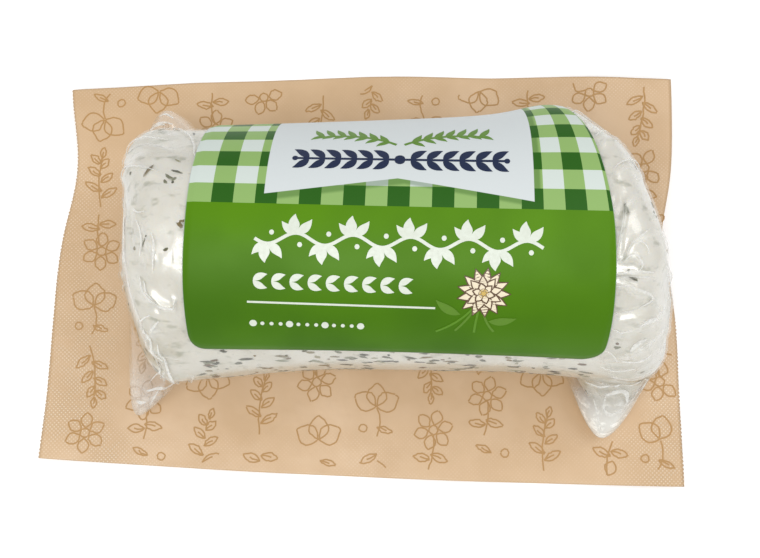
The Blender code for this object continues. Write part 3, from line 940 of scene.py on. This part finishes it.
def scatterHerbs(draw):
    # each flake's station, angle and direction, zone by zone, and which of them are crumbs
    starts, stops, lows, highs, numbers, spreads = zip(*herbs["zones"])
    station = np.concatenate([draw.uniform(*each) for each in zip(starts, stops, numbers)])
    angle = np.radians(np.concatenate([draw.uniform(*each) for each in zip(lows, highs, numbers)]))
    swing = np.concatenate([draw.normal(0, *each) for each in zip(spreads, numbers)])
    crumb = np.arange(len(station)) % herbs["crumb"] == herbs["crumb"] - 1
    shift, twist = herbs["crumbShift"]
    station[crumb] = np.roll(station, 1)[crumb] + draw.normal(0, shift, crumb.sum())
    angle[crumb] = np.roll(angle, 1)[crumb] + draw.normal(0, twist, crumb.sum())
    return station, angle, swing, crumb


def herbSizes(draw, crumb, atEnds):
    # half lengths and half widths, smaller for crumbs and on the ends
    shorter, narrower = herbs["crumbSize"]
    length = draw.uniform(*herbs["length"], len(crumb))
    length = length * np.where(crumb, shorter, draw.choice(herbs["sizes"], len(crumb)))
    width = draw.uniform(*herbs["width"], len(crumb)) * np.where(crumb, narrower, 1.0)
    shorter, narrower = herbs["endSize"]
    return length * np.where(atEnds, shorter, 1.0), width * np.where(atEnds, narrower, 1.0)


def herbTints(draw, count):
    # a tint for each flake, some of them faded, and a rim nearer to the cheese's colour
    most, power = herbs["fade"]
    tint = np.array(herbs["tints"])[draw.integers(0, len(herbs["tints"]), count)]
    faded = draw.uniform(0, most, (count, 1)) ** power
    tint = tint * (1 - faded) + np.array(herbs["pale"]) * faded
    rim = (1 - herbs["rim"]) * tint + herbs["rim"] * np.array(cheese["colour"])
    tints = np.concatenate([np.repeat(rim[:, None], herbs["corners"], axis=1),
                            np.repeat(tint[:, None], herbs["corners"] + 2, axis=1)], axis=1)
    return tints.reshape(-1, 3)


def makeHerbs():
    # low lenses: each belt is an ellipse with uneven corners, dark inside and pale at the rim
    draw = np.random.default_rng(herbs["seed"])
    station, angle, swing, crumb = scatterHerbs(draw)
    count, corners = len(station), herbs["corners"]
    point, glint, normal = cheesePoint(station, angle)
    along = cheesePoint(station + 0.05, angle)[0] - point
    along /= np.linalg.norm(along, axis=1, keepdims=True)
    first = along * np.cos(swing)[:, None] + np.cross(normal, along) * np.sin(swing)[:, None]
    second = np.cross(normal, first)
    length, width = herbSizes(draw, crumb, (station < labelStart) | (station > labelStop))
    turn = np.arange(corners) * 2 * math.pi / corners
    uneven = draw.uniform(*herbs["uneven"], (count, corners))
    belt = (point[:, None] + first[:, None] * (length[:, None] * uneven * np.cos(turn))[..., None]
            + second[:, None] * (width[:, None] * uneven * np.sin(turn))[..., None])
    rise = draw.uniform(*herbs["rise"], count)[:, None]
    beltSunk, bottomSunk = herbs["sunk"]
    top, bottom = point + normal * rise, point - normal * bottomSunk
    inner = draw.uniform(*herbs["core"], (count, corners))[..., None]
    core = (point[:, None] + inner * (belt - point[:, None])
            + herbs["coreRise"] * rise[..., None] * normal[:, None])
    belt = belt - beltSunk * normal[:, None]
    points = np.concatenate([belt, core, top[:, None], bottom[:, None]], axis=1)
    return points.reshape(-1, 3), [flakeFaces(corners, count)], herbTints(draw, count)


def herbLook():
    # each flake's own tint, darker along fine veins
    look = Look("herb flakes", roughness=0.5, coatWeight=0.2, coatRoughness=0.2)
    vein = look.step(look.noise(0.35, 2.0), 0.3, 0.7)
    look.feed(baseColor=look.mix(vein * 0.4, look.colour("tint"), (0.7, 0.72, 0.62), "MULTIPLY"),
              roughness=0.45 + 0.1 * vein)
    return look.material


points, faces, tints = makeHerbs()
addPiece("herbFlakes", points, faces, herbLook(), "herbs", colours={"tint": tints})


# Clear film
film = {
    "step": 0.40,
    "middle": 1.6,
    "around": 320,
    "haze": 0.03,  # 0 is clear and 1 is milky
    "earHaze": {"frontLeft": 0.24, "frontRight": 0.72, "backLeft": 0.08, "backRight": 0.25},
    "ears": {"backLeft": 0.8, "frontLeft": 0.9, "frontRight": 0.95},  # shares of their pull
    "gloss": 0.115,  # most that clear film covers by its shine
    "rightMilk": 0.09,  # the film lies in several layers over the right end
    "rightRange": (27.0, 34.0),  # how far from the right pole that ends
    # painted glint: the film is whitened along the folds' crests by this share of their glint
    "creaseGlintHaze": 0.30,
    "earRange": (0.1, 0.7),
    "metalRange": (0.04, 0.25),  # haze at which it passes from mirror to milk
    "ripple": (1.1, 0.03),  # size and height
}


def makeFilm():
    # the whole surface, hazy at ears and where it lies in layers, and whitened along the creases by a
    # painted glint
    station, angle = logGrid(film)
    rings, glint, normal = skin(station, angle, 0.0, 1.0, 1.0, film["ears"])
    milk = film["rightMilk"] * (1 - smoothStep(outlineLength - station, *film["rightRange"]))
    haze = film["haze"] + milk + film["creaseGlintHaze"] * glint
    for name, pull, hook in earHooks(*halfOutline(station), angle):
        haze = haze + film["earHaze"][name] * smoothStep(hook, *film["earRange"])
    points, faces = closedLog(rings)
    return points, faces, {"haze": np.concatenate([haze.ravel(), haze[0, :1], haze[-1, :1]])}


def filmLook():
    # clear where there is no haze, but for its gloss, and milky where there is; the haze along the
    # creases is a painted glint
    look = Look("clear film", roughness=0.14)
    haze = look.value("haze")
    gloss = look.maths("MINIMUM", look.node("Fresnel", None, {"IOR": 1.5}), film["gloss"])
    streak = look.step(look.noise(1.6, 3.0, 0.6), 0.45, 0.75)
    cover = haze * (0.7 + 0.6 * streak)
    look.feed(baseColor=look.mix(haze, (0.96, 0.96, 0.94), (0.95, 0.94, 0.87)),
              metallic=1 - look.step(haze, *film["metalRange"]),
              roughness=0.17 + 0.16 * streak, alpha=look.maths("MINIMUM", cover + gloss, 1.0))
    size, height = film["ripple"]
    look.bump(look.noise(size) * height)
    return look.material


points, faces, values = makeFilm()
piece = addPiece("clearFilm", points, faces, filmLook(), "clear_film", values=values)
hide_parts("wrapped_log")


# sharp creases of the film, laid as pale glossy strips whose pale colour is a painted highlight of the
# light they catch:
# half width and the line that each follows, as distances from the end's middle and degrees round from the
# top
rightCreaseGlints = (
    (0.20, ((31.0, -16), (29.3, -7), (25.7, 3))),
    (0.12, ((30.5, -13), (28.9, -8), (25.7, -4))),
    (0.20, ((31.0, -19), (26.5, -13), (23.9, -10), (21.4, -6))),
    (0.16, ((29.3, -18), (26.0, -16), (24.3, -16), (23.4, -20), (24.0, -22))),
    (0.12, ((25.7, -13), (23.5, -11), (22.4, -13), (22.2, -16))),
    (0.17, ((30.9, -23), (27.0, -22), (23.7, -22), (21.1, -23))),
    (0.12, ((30.7, -24.4), (27.0, -24.2), (23.7, -24), (21.1, -25))),
    (0.22, ((30.8, -28), (27.1, -27), (24.1, -29), (21.7, -32), (20.9, -35), (23.0, -38))),
    (0.12, ((23.0, -38), (26.5, -39.5), (30.4, -40))),
    (0.42, ((22.6, -45), (21.0, -44), (19.0, -46))),
    (0.36, ((24.0, -58), (22.6, -55), (21.2, -54))),
    (0.14, ((30.2, -47), (26.0, -49), (23.4, -48))),
    (0.15, ((30.6, -59), (26.7, -64), (22.5, -66), (20.4, -65))),
    (0.16, ((29.5, -109), (27.0, -103), (24.9, -96), (22.2, -91))),
    (0.13, ((30.5, -71), (27.1, -74), (23.3, -71))),
    (0.34, ((26.3, -105), (24.4, -101), (22.6, -105))),
    (0.18, ((22.6, -105), (23.6, -109), (25.4, -109), (26.3, -105))),
    (0.17, ((27.2, -110), (25.5, -112), (24.0, -115))),
    (0.20, ((21.9, -102), (21.5, -107), (22.1, -111))),
    (0.16, ((21.5, -87), (20.9, -95), (20.9, -103))),
    (0.16, ((19.0, -8), (13.0, -20), (10.3, -34), (12.5, -40), (15.4, -43))),
    (0.16, ((26.0, 18), (20.0, 26), (14.0, 34))),
    (0.16, ((28.0, 36), (22.0, 42), (16.0, 54))),
    (0.14, ((28.0, 58), (22.0, 62), (15.0, 66))),
    (0.16, ((27.0, 84), (20.0, 90), (12.0, 100))),
    (0.16, ((14.0, -60), (9.0, -70), (5.0, -100))),
)
leftCreaseGlints = (
    (0.17, ((13.4, 27), (16.1, 11), (16.0, -1), (16.8, -18))),
    (0.12, ((19.3, 7), (20.3, 5), (21.4, 5))),
    (0.13, ((19.9, 2), (20.6, -7), (20.3, -15))),
    (0.17, ((22.7, -5), (23.2, -10), (23.1, -15), (22.6, -21))),
    (0.24, ((21.0, -26), (21.6, -32), (22.8, -36), (24.2, -37), (26.2, -37), (27.3, -34))),
    (0.14, ((20.3, -24), (20.6, -31), (21.8, -36), (23.1, -39))),
    (0.20, ((21.1, -50), (22.6, -44))),
    (0.13, ((19.1, -48), (20.2, -44), (21.3, -42))),
    (0.18, ((21.7, -58), (22.7, -70), (24.4, -92), (24.9, -108))),
    (0.14, ((20.0, -50), (20.8, -59), (22.3, -68))),
    (0.20, ((20.1, -119), (21.0, -118), (21.8, -117))),
    (0.20, ((20.7, -114), (22.5, -112), (25.0, -116))),
    (0.15, ((22.6, -113), (22.9, -119))),
    (0.14, ((25.1, -114), (26.7, -100), (28.6, -82))),
    (0.15, ((20.4, -64), (20.9, -82), (20.6, -105))),
    (0.14, ((22.0, -78), (21.2, -96), (20.3, -112))),
    (0.20, ((19.8, 92), (20.3, 100), (22.2, 96), (24.6, 93))),
    (0.22, ((22.2, 102), (23.3, 101), (24.7, 97))),
    (0.20, ((25.0, 92), (28.8, 56), (31.2, 43), (32.1, 32))),
    (0.15, ((20.6, 98), (23.3, 93))),
    (0.15, ((24.0, 24), (18.0, 34), (12.0, 50))),
    (0.15, ((26.0, 48), (20.0, 56), (14.0, 70))),
    (0.15, ((16.0, -30), (11.0, -44), (7.0, -80))),
)


crease = {
    "perCorner": 6,  # points of a line for each of its corners
    "span": (0.03, 0.97),
    "power": 0.7,
    "raised": 0.07,
    # pale and grey tints of the strips, painted as the creases' highlight
    "pale": (0.95, 0.95, 0.92),
    "grey": (0.86, 0.86, 0.82),
}


def smoothLine(corners, count):
    # a Catmull-Rom curve through the corners, at even steps of its parameter
    ends = np.concatenate([[2 * corners[0] - corners[1]], corners, [2 * corners[-1] - corners[-2]]])
    t = np.linspace(0, len(corners) - 1 - 1e-6, count)
    at, part = np.floor(t).astype(int), (t % 1)[:, None]
    a, b, c, d = (ends[at + shift] for shift in range(4))
    return 0.5 * (2 * b + (c - a) * part + (2 * a - 5 * b + 4 * c - d) * part**2
                  + (3 * b - a - 3 * c + d) * part**3)


def creaseRibbons(creases, mirror, stationOf):
    # the map is mirrored on the left end, so that it faces out there too; half widths go as a
    # power of the sine of the way along
    strokes = []
    for half, polar in creases:
        line = smoothLine(flatLine(polar, mirror), crease["perCorner"] * len(polar))
        swell = np.sin(math.pi * np.linspace(*crease["span"], len(line))) ** crease["power"]
        strokes.append((line, half * swell, (1.0, 1.0, 1.0)))

    def place(a, b, out):
        rho, angle = np.hypot(a, b), np.arctan2(mirror * a, b)
        return skin(stationOf(rho), angle, out, 1.0, 1.0, film["ears"])[0]
    return ribbons(strokes, place, crease["raised"])


def creaseGlintLook():
    # painted highlight: pale and glossy, and see-through in streaks
    look = Look("film crease glint", roughness=0.12)
    streak = look.step(look.noise(0.8, 2.0), 0.35, 0.7)
    look.feed(baseColor=look.mix(streak, crease["pale"], crease["grey"]),
              roughness=0.08 + 0.12 * streak, alpha=0.30 + 0.38 * streak)
    return look.material


creaseGlintPaint = creaseGlintLook()
for name, creases, mirror, stationOf in (
        ("leftCreaseGlints", leftCreaseGlints, -1, lambda rho: rho),
        ("rightCreaseGlints", rightCreaseGlints, 1, lambda rho: outlineLength - rho)):
    points, faces, tints = creaseRibbons(creases, mirror, stationOf)
    addPiece(name, points, faces, creaseGlintPaint, "clear_film", smooth=False)


# Label
def labelPoint(along, around, out):
    # round the body at its own radius, turned by the skew, and drawn out at three corners
    frontLeft, frontRight, backRight = label["spread"]
    front, back = (smoothStep(side * around, *span) for side, span in zip((-1, 1), label["spreadAround"]))
    left, right = (smoothStep(side * along, *span) for side, span in zip((-1, 1), label["spreadAlong"]))
    along = along - frontLeft * front * left + (frontRight * front + backRight * back) * right
    skew = label["skew"]
    x = label["centre"] + along * math.cos(skew) + around * math.sin(skew)
    arc = around * math.cos(skew) - along * math.sin(skew)
    return bodyPoint(x, 1.0, arc / radiusAt(x, 0.0), out)


def makeLabel():
    # columns run between edges that round off at the four corners: r - sqrt(r^2 - d^2)
    (left, right), corner = label["edges"], label["corner"]
    reach = math.pi / 2 * label["crowd"]
    along = np.sin(np.linspace(-reach, reach, label["columns"])) / math.sin(reach)
    along = (left + right) / 2 + (right - left) / 2 * along
    edge = np.minimum(along - left, right - along)
    inset = np.clip(corner - edge, 0, corner)
    cut = corner - np.sqrt(np.maximum(corner**2 - inset**2, 0))
    drop, dropAlong = label["frontDrop"]
    low = label["front"] - drop * smoothStep(along, 0, dropAlong) + cut
    high = label["back"] - cut
    share = np.linspace(0, 1, label["rows"])[:, None]
    around = low + (high - low) * share
    wide = np.broadcast_to(along, around.shape)
    rim = np.minimum(edge, np.minimum(around - low, high - around))
    thinner, rimWidth = label["rim"]
    over = label["over"] - thinner * (1 - smoothStep(rim, 0.0, rimWidth))
    points, faces = slab(labelPoint(wide, around, over), labelPoint(wide, around, label["under"]))
    values = {"along": wide, "around": around, "rim": rim}
    return points, [faces], {name: np.tile(value.ravel(), 2) for name, value in values.items()}


labelInk = {
    "check": 6.33,  # one dark and one pale column
    "rowPitch": 6.14,
    "checkLeft": -26.87,
    "checkMargin": 0.45,  # no dark column starts more than this share of a check left of there
    "checkFoot": 1.5,
    "checkRise": 0.0093,  # for each mm along
    "banner": (19.3, 2.8, 5.85),  # half width, height at its sides and at the notch
    "shadow": (0.95, -0.9, 0.3, 0.48),  # how far it is moved along and round, blur, strength
    "greenShadeRange": (-17.0, 1.0),  # the plain green field is darker below this, a painted shade on the label's lower front
    "grain": (0.5, 0.012, 7.0, 0.05),  # size and height of the fine and the slow bumps
    "green": fromScreen(86, 136, 12),
    "deepGreen": fromScreen(57, 100, 6),
    "dark": fromScreen(42, 94, 24),
    "pale": fromScreen(143, 178, 106),
    "white": fromScreen(207, 217, 211),
    "paper": fromScreen(209, 215, 216),
    "navy": fromScreen(4, 28, 66),
    "leaf": fromScreen(88, 132, 24),
    "cream": fromScreen(236, 224, 196),
    "brown": fromScreen(92, 66, 44),
    "printWhite": fromScreen(216, 223, 210),
    "heart": fromScreen(206, 176, 96),
    "raised": (0.03, 0.05),  # the first line over the label, and the last over the first
}


def labelLook():
    # gingham, dark where a dark column and row cross, a banner on it, and plain green below that darkens
    # towards the lower front with painted shade
    ink = labelInk
    look = Look("label film", roughness=0.42, specularIorLevel=0.14)
    along, around = look.value("along"), look.value("around")
    up = around - (ink["checkFoot"] + along * ink["checkRise"])
    column = look.maths("FRACT", (along - ink["checkLeft"]) / ink["check"]) < 0.5
    column = column * (along > ink["checkLeft"] - ink["check"] * ink["checkMargin"])
    row = look.maths("FRACT", up / ink["rowPitch"]) < 0.5
    cloth = look.mix(look.maths("MAXIMUM", column, row), ink["white"], ink["pale"])
    cloth = look.mix(column * row, cloth, ink["dark"])
    half, foot, notch = ink["banner"]

    def flag(moveAlong, moveAround, blur):
        across = along - moveAlong
        lower = notch - abs(across + 0.2) * ((notch - foot) / half)
        return (look.step(around - moveAround - lower, -blur, blur)
                * look.step(half - abs(across), -blur, blur))

    *shadow, strength = ink["shadow"]
    cloth = look.mix(flag(*shadow) * strength, cloth, ink["dark"])
    top = look.mix(flag(0.0, 0.0, 0.04), cloth, ink["paper"])
    cloud = look.step(look.noise(14.0, 2.0), 0.3, 0.7)
    # painted shade towards the label's lower front, over a random cloud
    deep = cloud * 0.3 + 0.6 * (1 - look.step(around, *ink["greenShadeRange"]))
    whole = look.mix(up > 0.0, look.mix(deep, ink["green"], ink["deepGreen"]), top)
    edge = 1 - look.step(look.value("rim"), 0.03, 0.14)
    look.feed(baseColor=look.mix(edge * 0.5, whole, ink["paper"]), roughness=0.38 + 0.12 * cloud)
    fine, fineHeight, slow, slowHeight = ink["grain"]
    look.bump(look.noise(fine) * fineHeight + look.noise(slow) * slowHeight)
    return look.material


points, faces, values = makeLabel()
piece = addPiece("labelFilm", points, faces, labelLook(), "label_paper", values=values)
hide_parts("label")


def leafStroke(base, tip, half, tint, bow=0.0, count=9):
    # half width goes as the sine of the way along, fuller towards the base
    t = np.linspace(0, 1, count)
    return curve(base, tip, bow, count), np.maximum(half * np.sin(math.pi * t**0.85), 0.02), tint


def dot(centre, radius, tint, count=9):
    # half width goes as sqrt(1 - t^2)
    t = np.linspace(-1, 1, count)
    line = np.stack([centre[0] + radius * t, np.full(count, centre[1])], axis=1)
    return line, np.maximum(radius * np.sqrt(np.maximum(1 - t**2, 0)), 0.02), tint


def leafPair(x, y, reach, lift, half, tint, lean=0.0):
    # two leaves that part from one point, up and down
    return [leafStroke((x, y), (x + reach, y + side * lift), half, tint, side * lean)
            for side in (1, -1)]


def garland(tint, height=9.2, first=1.6, pitch=2.35, pairs=6, end=15.0):
    # leaf pairs that leave the banner's middle to both sides, on one stem
    strokes = [(curve((-end, height), (end, height), 0.0, 30), 0.20, tint)]
    for number in range(pairs):
        for side in (-1, 1):
            x = side * (first + pitch * number)
            strokes += leafPair(x, height, side * 2.3, 1.85, 0.62, tint, side * 0.25)
    return strokes + [dot((x, height), radius, tint)
                      for x, radius in ((0.0, 0.85), (-end - 0.4, 0.45), (end + 0.4, 0.45))]


def boughs(tint, foot=12.4, rise=1.8, first=1.6, pitch=1.65, leaves=7):
    # two boughs that meet above the garland: each is a slope with a bow of s (1 - s)
    strokes = []
    for side in (-1, 1):
        ends = (side * 0.6, foot), (side * 12.6, foot + rise)
        strokes.append((curve(*ends, side * 1.2, 20), 0.22, tint))
        for number in range(leaves):
            share = (number + 0.6) / (leaves + 0.5)
            x = side * (first + pitch * number)
            y = foot + rise * (number * pitch + 1.0) / 12.0 + 4.8 * share * (1 - share)
            strokes += [leafStroke((x, y), (x + side * 1.5, y + 2.1), 0.46, tint, side * -0.2),
                        leafStroke((x, y), (x + side * 2.0, y - 0.9), 0.36, tint, side * 0.2)]
    return strokes


def vine(tint, height=-3.6, swing=0.8, turn=0.77, first=-18.3, pitch=4.08, knots=10):
    # a sine wave over the upper part of the green field, with three leaves and a berry at each knot
    wave = np.linspace(-20.2, 20.6, 90)
    strokes = [(np.stack([wave, height + swing * np.sin(wave * turn)], axis=1), 0.24, tint)]
    for number in range(knots):
        x, side = first + number * pitch, 1 if number % 2 else -1
        y = height + swing * math.sin(x * turn)
        strokes += [leafStroke((x, y), (x + along, y + side * up), half, tint, side * bow)
                    for along, up, half, bow in ((-0.3, 2.7, 0.80, 0.3), (2.1, 2.0, 0.66, -0.25),
                                                 (-2.2, 1.6, 0.60, 0.25))]
        strokes.append(dot((x + 0.5, y - side * 1.6), 0.36, tint))
    return strokes


def blossom(ink, centre=(12.6, -10.4)):
    # three rings of petals, each a cream leaf on a brown one, over stems that spread downwards
    centre, leaf, brown = np.array(centre), ink["leaf"], ink["brown"]
    strokes = []
    for number in range(4):
        end = (6.4 + 2.7 * number, -16.9 + 0.25 * (number % 2))
        tint = leaf if number % 2 else ink["green"]
        strokes.append((curve(centre, end, 0.8 - 0.5 * number, 12), 0.16, tint))
    strokes += [leafStroke((9.6, -13.8), (6.0, -11.6), 0.65, leaf, 0.3),
                leafStroke((13.6, -14.8), (17.4, -14.2), 0.65, leaf, -0.3)]
    for layer, (count, reach, half) in enumerate(((13, 3.8, 0.76), (9, 2.75, 0.70), (6, 1.7, 0.58))):
        for number in range(count):
            turn = 2 * math.pi * (number + 0.4 * layer) / count
            way = np.array((math.cos(turn), math.sin(turn)))
            strokes += [leafStroke(centre + way * start, centre + way * stop, wide, tint)
                        for start, stop, wide, tint in ((0.3, reach, half, brown),
                                                        (0.4, reach - 0.28, half - 0.2, ink["cream"]))]
    return strokes + [dot(centre, 0.75, brown), dot(centre, 0.6, ink["heart"])]


def labelStrokes():
    # from the banner down; the order is that in which they lie over each other
    white = labelInk["printWhite"]
    strokes = garland(labelInk["navy"]) + boughs(labelInk["leaf"]) + vine(white)
    for number in range(9):
        strokes += leafPair(-20.2 + number * 2.6, -9.7, 2.0, 1.0, 0.50, white, 0.2)
    strokes.append((curve((-21.0, -12.9), (6.0, -12.9), 0.0, 24), 0.15, white))
    strokes += [dot((-20.2 + number * 1.3, -16.4), 0.30 if number % 4 else 0.55, white)
                for number in range(13)]
    return strokes + blossom(labelInk)


points, faces, tints = ribbons(
    labelStrokes(), lambda a, b, out: labelPoint(a, b, label["over"] + out), *labelInk["raised"])
addPiece("labelPrint", points, faces, inkLook("label print", 0.38), "label_paper",
         colours={"ink": tints}, smooth=False)


# Floor, light and camera
studio = {
    "floor": (0.98, 0.98, 0.98),
    "glow": 0.10,  # the floor's own light, which keeps it white
    "world": 0.52,
    "lights": (  # name, place and size in metres, power in watts
        ("key", (-0.12, -0.22, 0.58), (0.40, 0.30), 2.0),
        ("top", (0.24, 0.14, 0.58), (0.40, 0.40), 0.9),
    ),
    "lens": 40.263,
    "eye": (2.652, -29.580, 158.040),  # camera fitted to the photograph, in mm
    "elevation": math.radians(80),
    "roll": math.radians(-0.354),
}


def makeFloor(reach=3.0):
    # a square under the object, so wide that its edges stay out of every view
    mesh = bpy.data.meshes.new("floor")
    mesh.from_pydata([(-reach, -reach, 0), (reach, -reach, 0), (reach, reach, 0), (-reach, reach, 0)],
                     [], [(0, 1, 2, 3)])
    look = Look("floor", roughness=0.9, emissionStrength=studio["glow"])
    look.feed(emissionColor=(1.0, 1.0, 1.0, 1.0), baseColor=(*studio["floor"], 1.0))
    mesh.materials.append(look.material)
    floor = bpy.data.objects.new("floor", mesh)
    bpy.context.scene.collection.objects.link(floor)


def makeLights():
    # soft lamps that face a point just over the floor, and an even white world
    for name, place, size, power in studio["lights"]:
        lamp = bpy.data.lights.new(name, "AREA")
        lamp.shape = "RECTANGLE"
        lamp.size, lamp.size_y, lamp.energy = size[0], size[1], power
        made = bpy.data.objects.new(name, lamp)
        made.location = place
        facing = Vector((0, 0, 0.02)) - Vector(place)
        made.rotation_euler = facing.to_track_quat("-Z", "Y").to_euler()
        bpy.context.scene.collection.objects.link(made)
    world = bpy.data.worlds.new("world")
    bpy.context.scene.world = world
    world.use_nodes = True
    background = world.node_tree.nodes["Background"].inputs
    background["Color"].default_value = (1, 1, 1, 1)
    background["Strength"].default_value = studio["world"]


def makeCamera():
    # looks down from the front at its elevation, and turns about its own axis by its roll
    tilt, roll = studio["elevation"], studio["roll"]
    back = np.array([0, -math.cos(tilt), math.sin(tilt)])
    right = np.array([1.0, 0.0, 0.0])
    up = np.cross(back, right)
    turnedRight = math.cos(roll) * right + math.sin(roll) * up
    turnedUp = math.cos(roll) * up - math.sin(roll) * right
    rows = np.eye(4)
    rows[:3, 0], rows[:3, 1], rows[:3, 2] = turnedRight, turnedUp, back
    rows[:3, 3] = (np.array(studio["eye"]) + recentre) * mm
    camera = bpy.data.objects.new("camera", bpy.data.cameras.new("camera"))
    camera.data.sensor_width = 36
    camera.data.lens = studio["lens"]
    camera.data.clip_start = 0.01
    camera.matrix_world = Matrix(rows.tolist())
    bpy.context.scene.collection.objects.link(camera)
    bpy.context.scene.camera = camera


makeFloor()
makeLights()
makeCamera()
bpy.context.scene.view_settings.view_transform = "Standard"
print("stage ready")
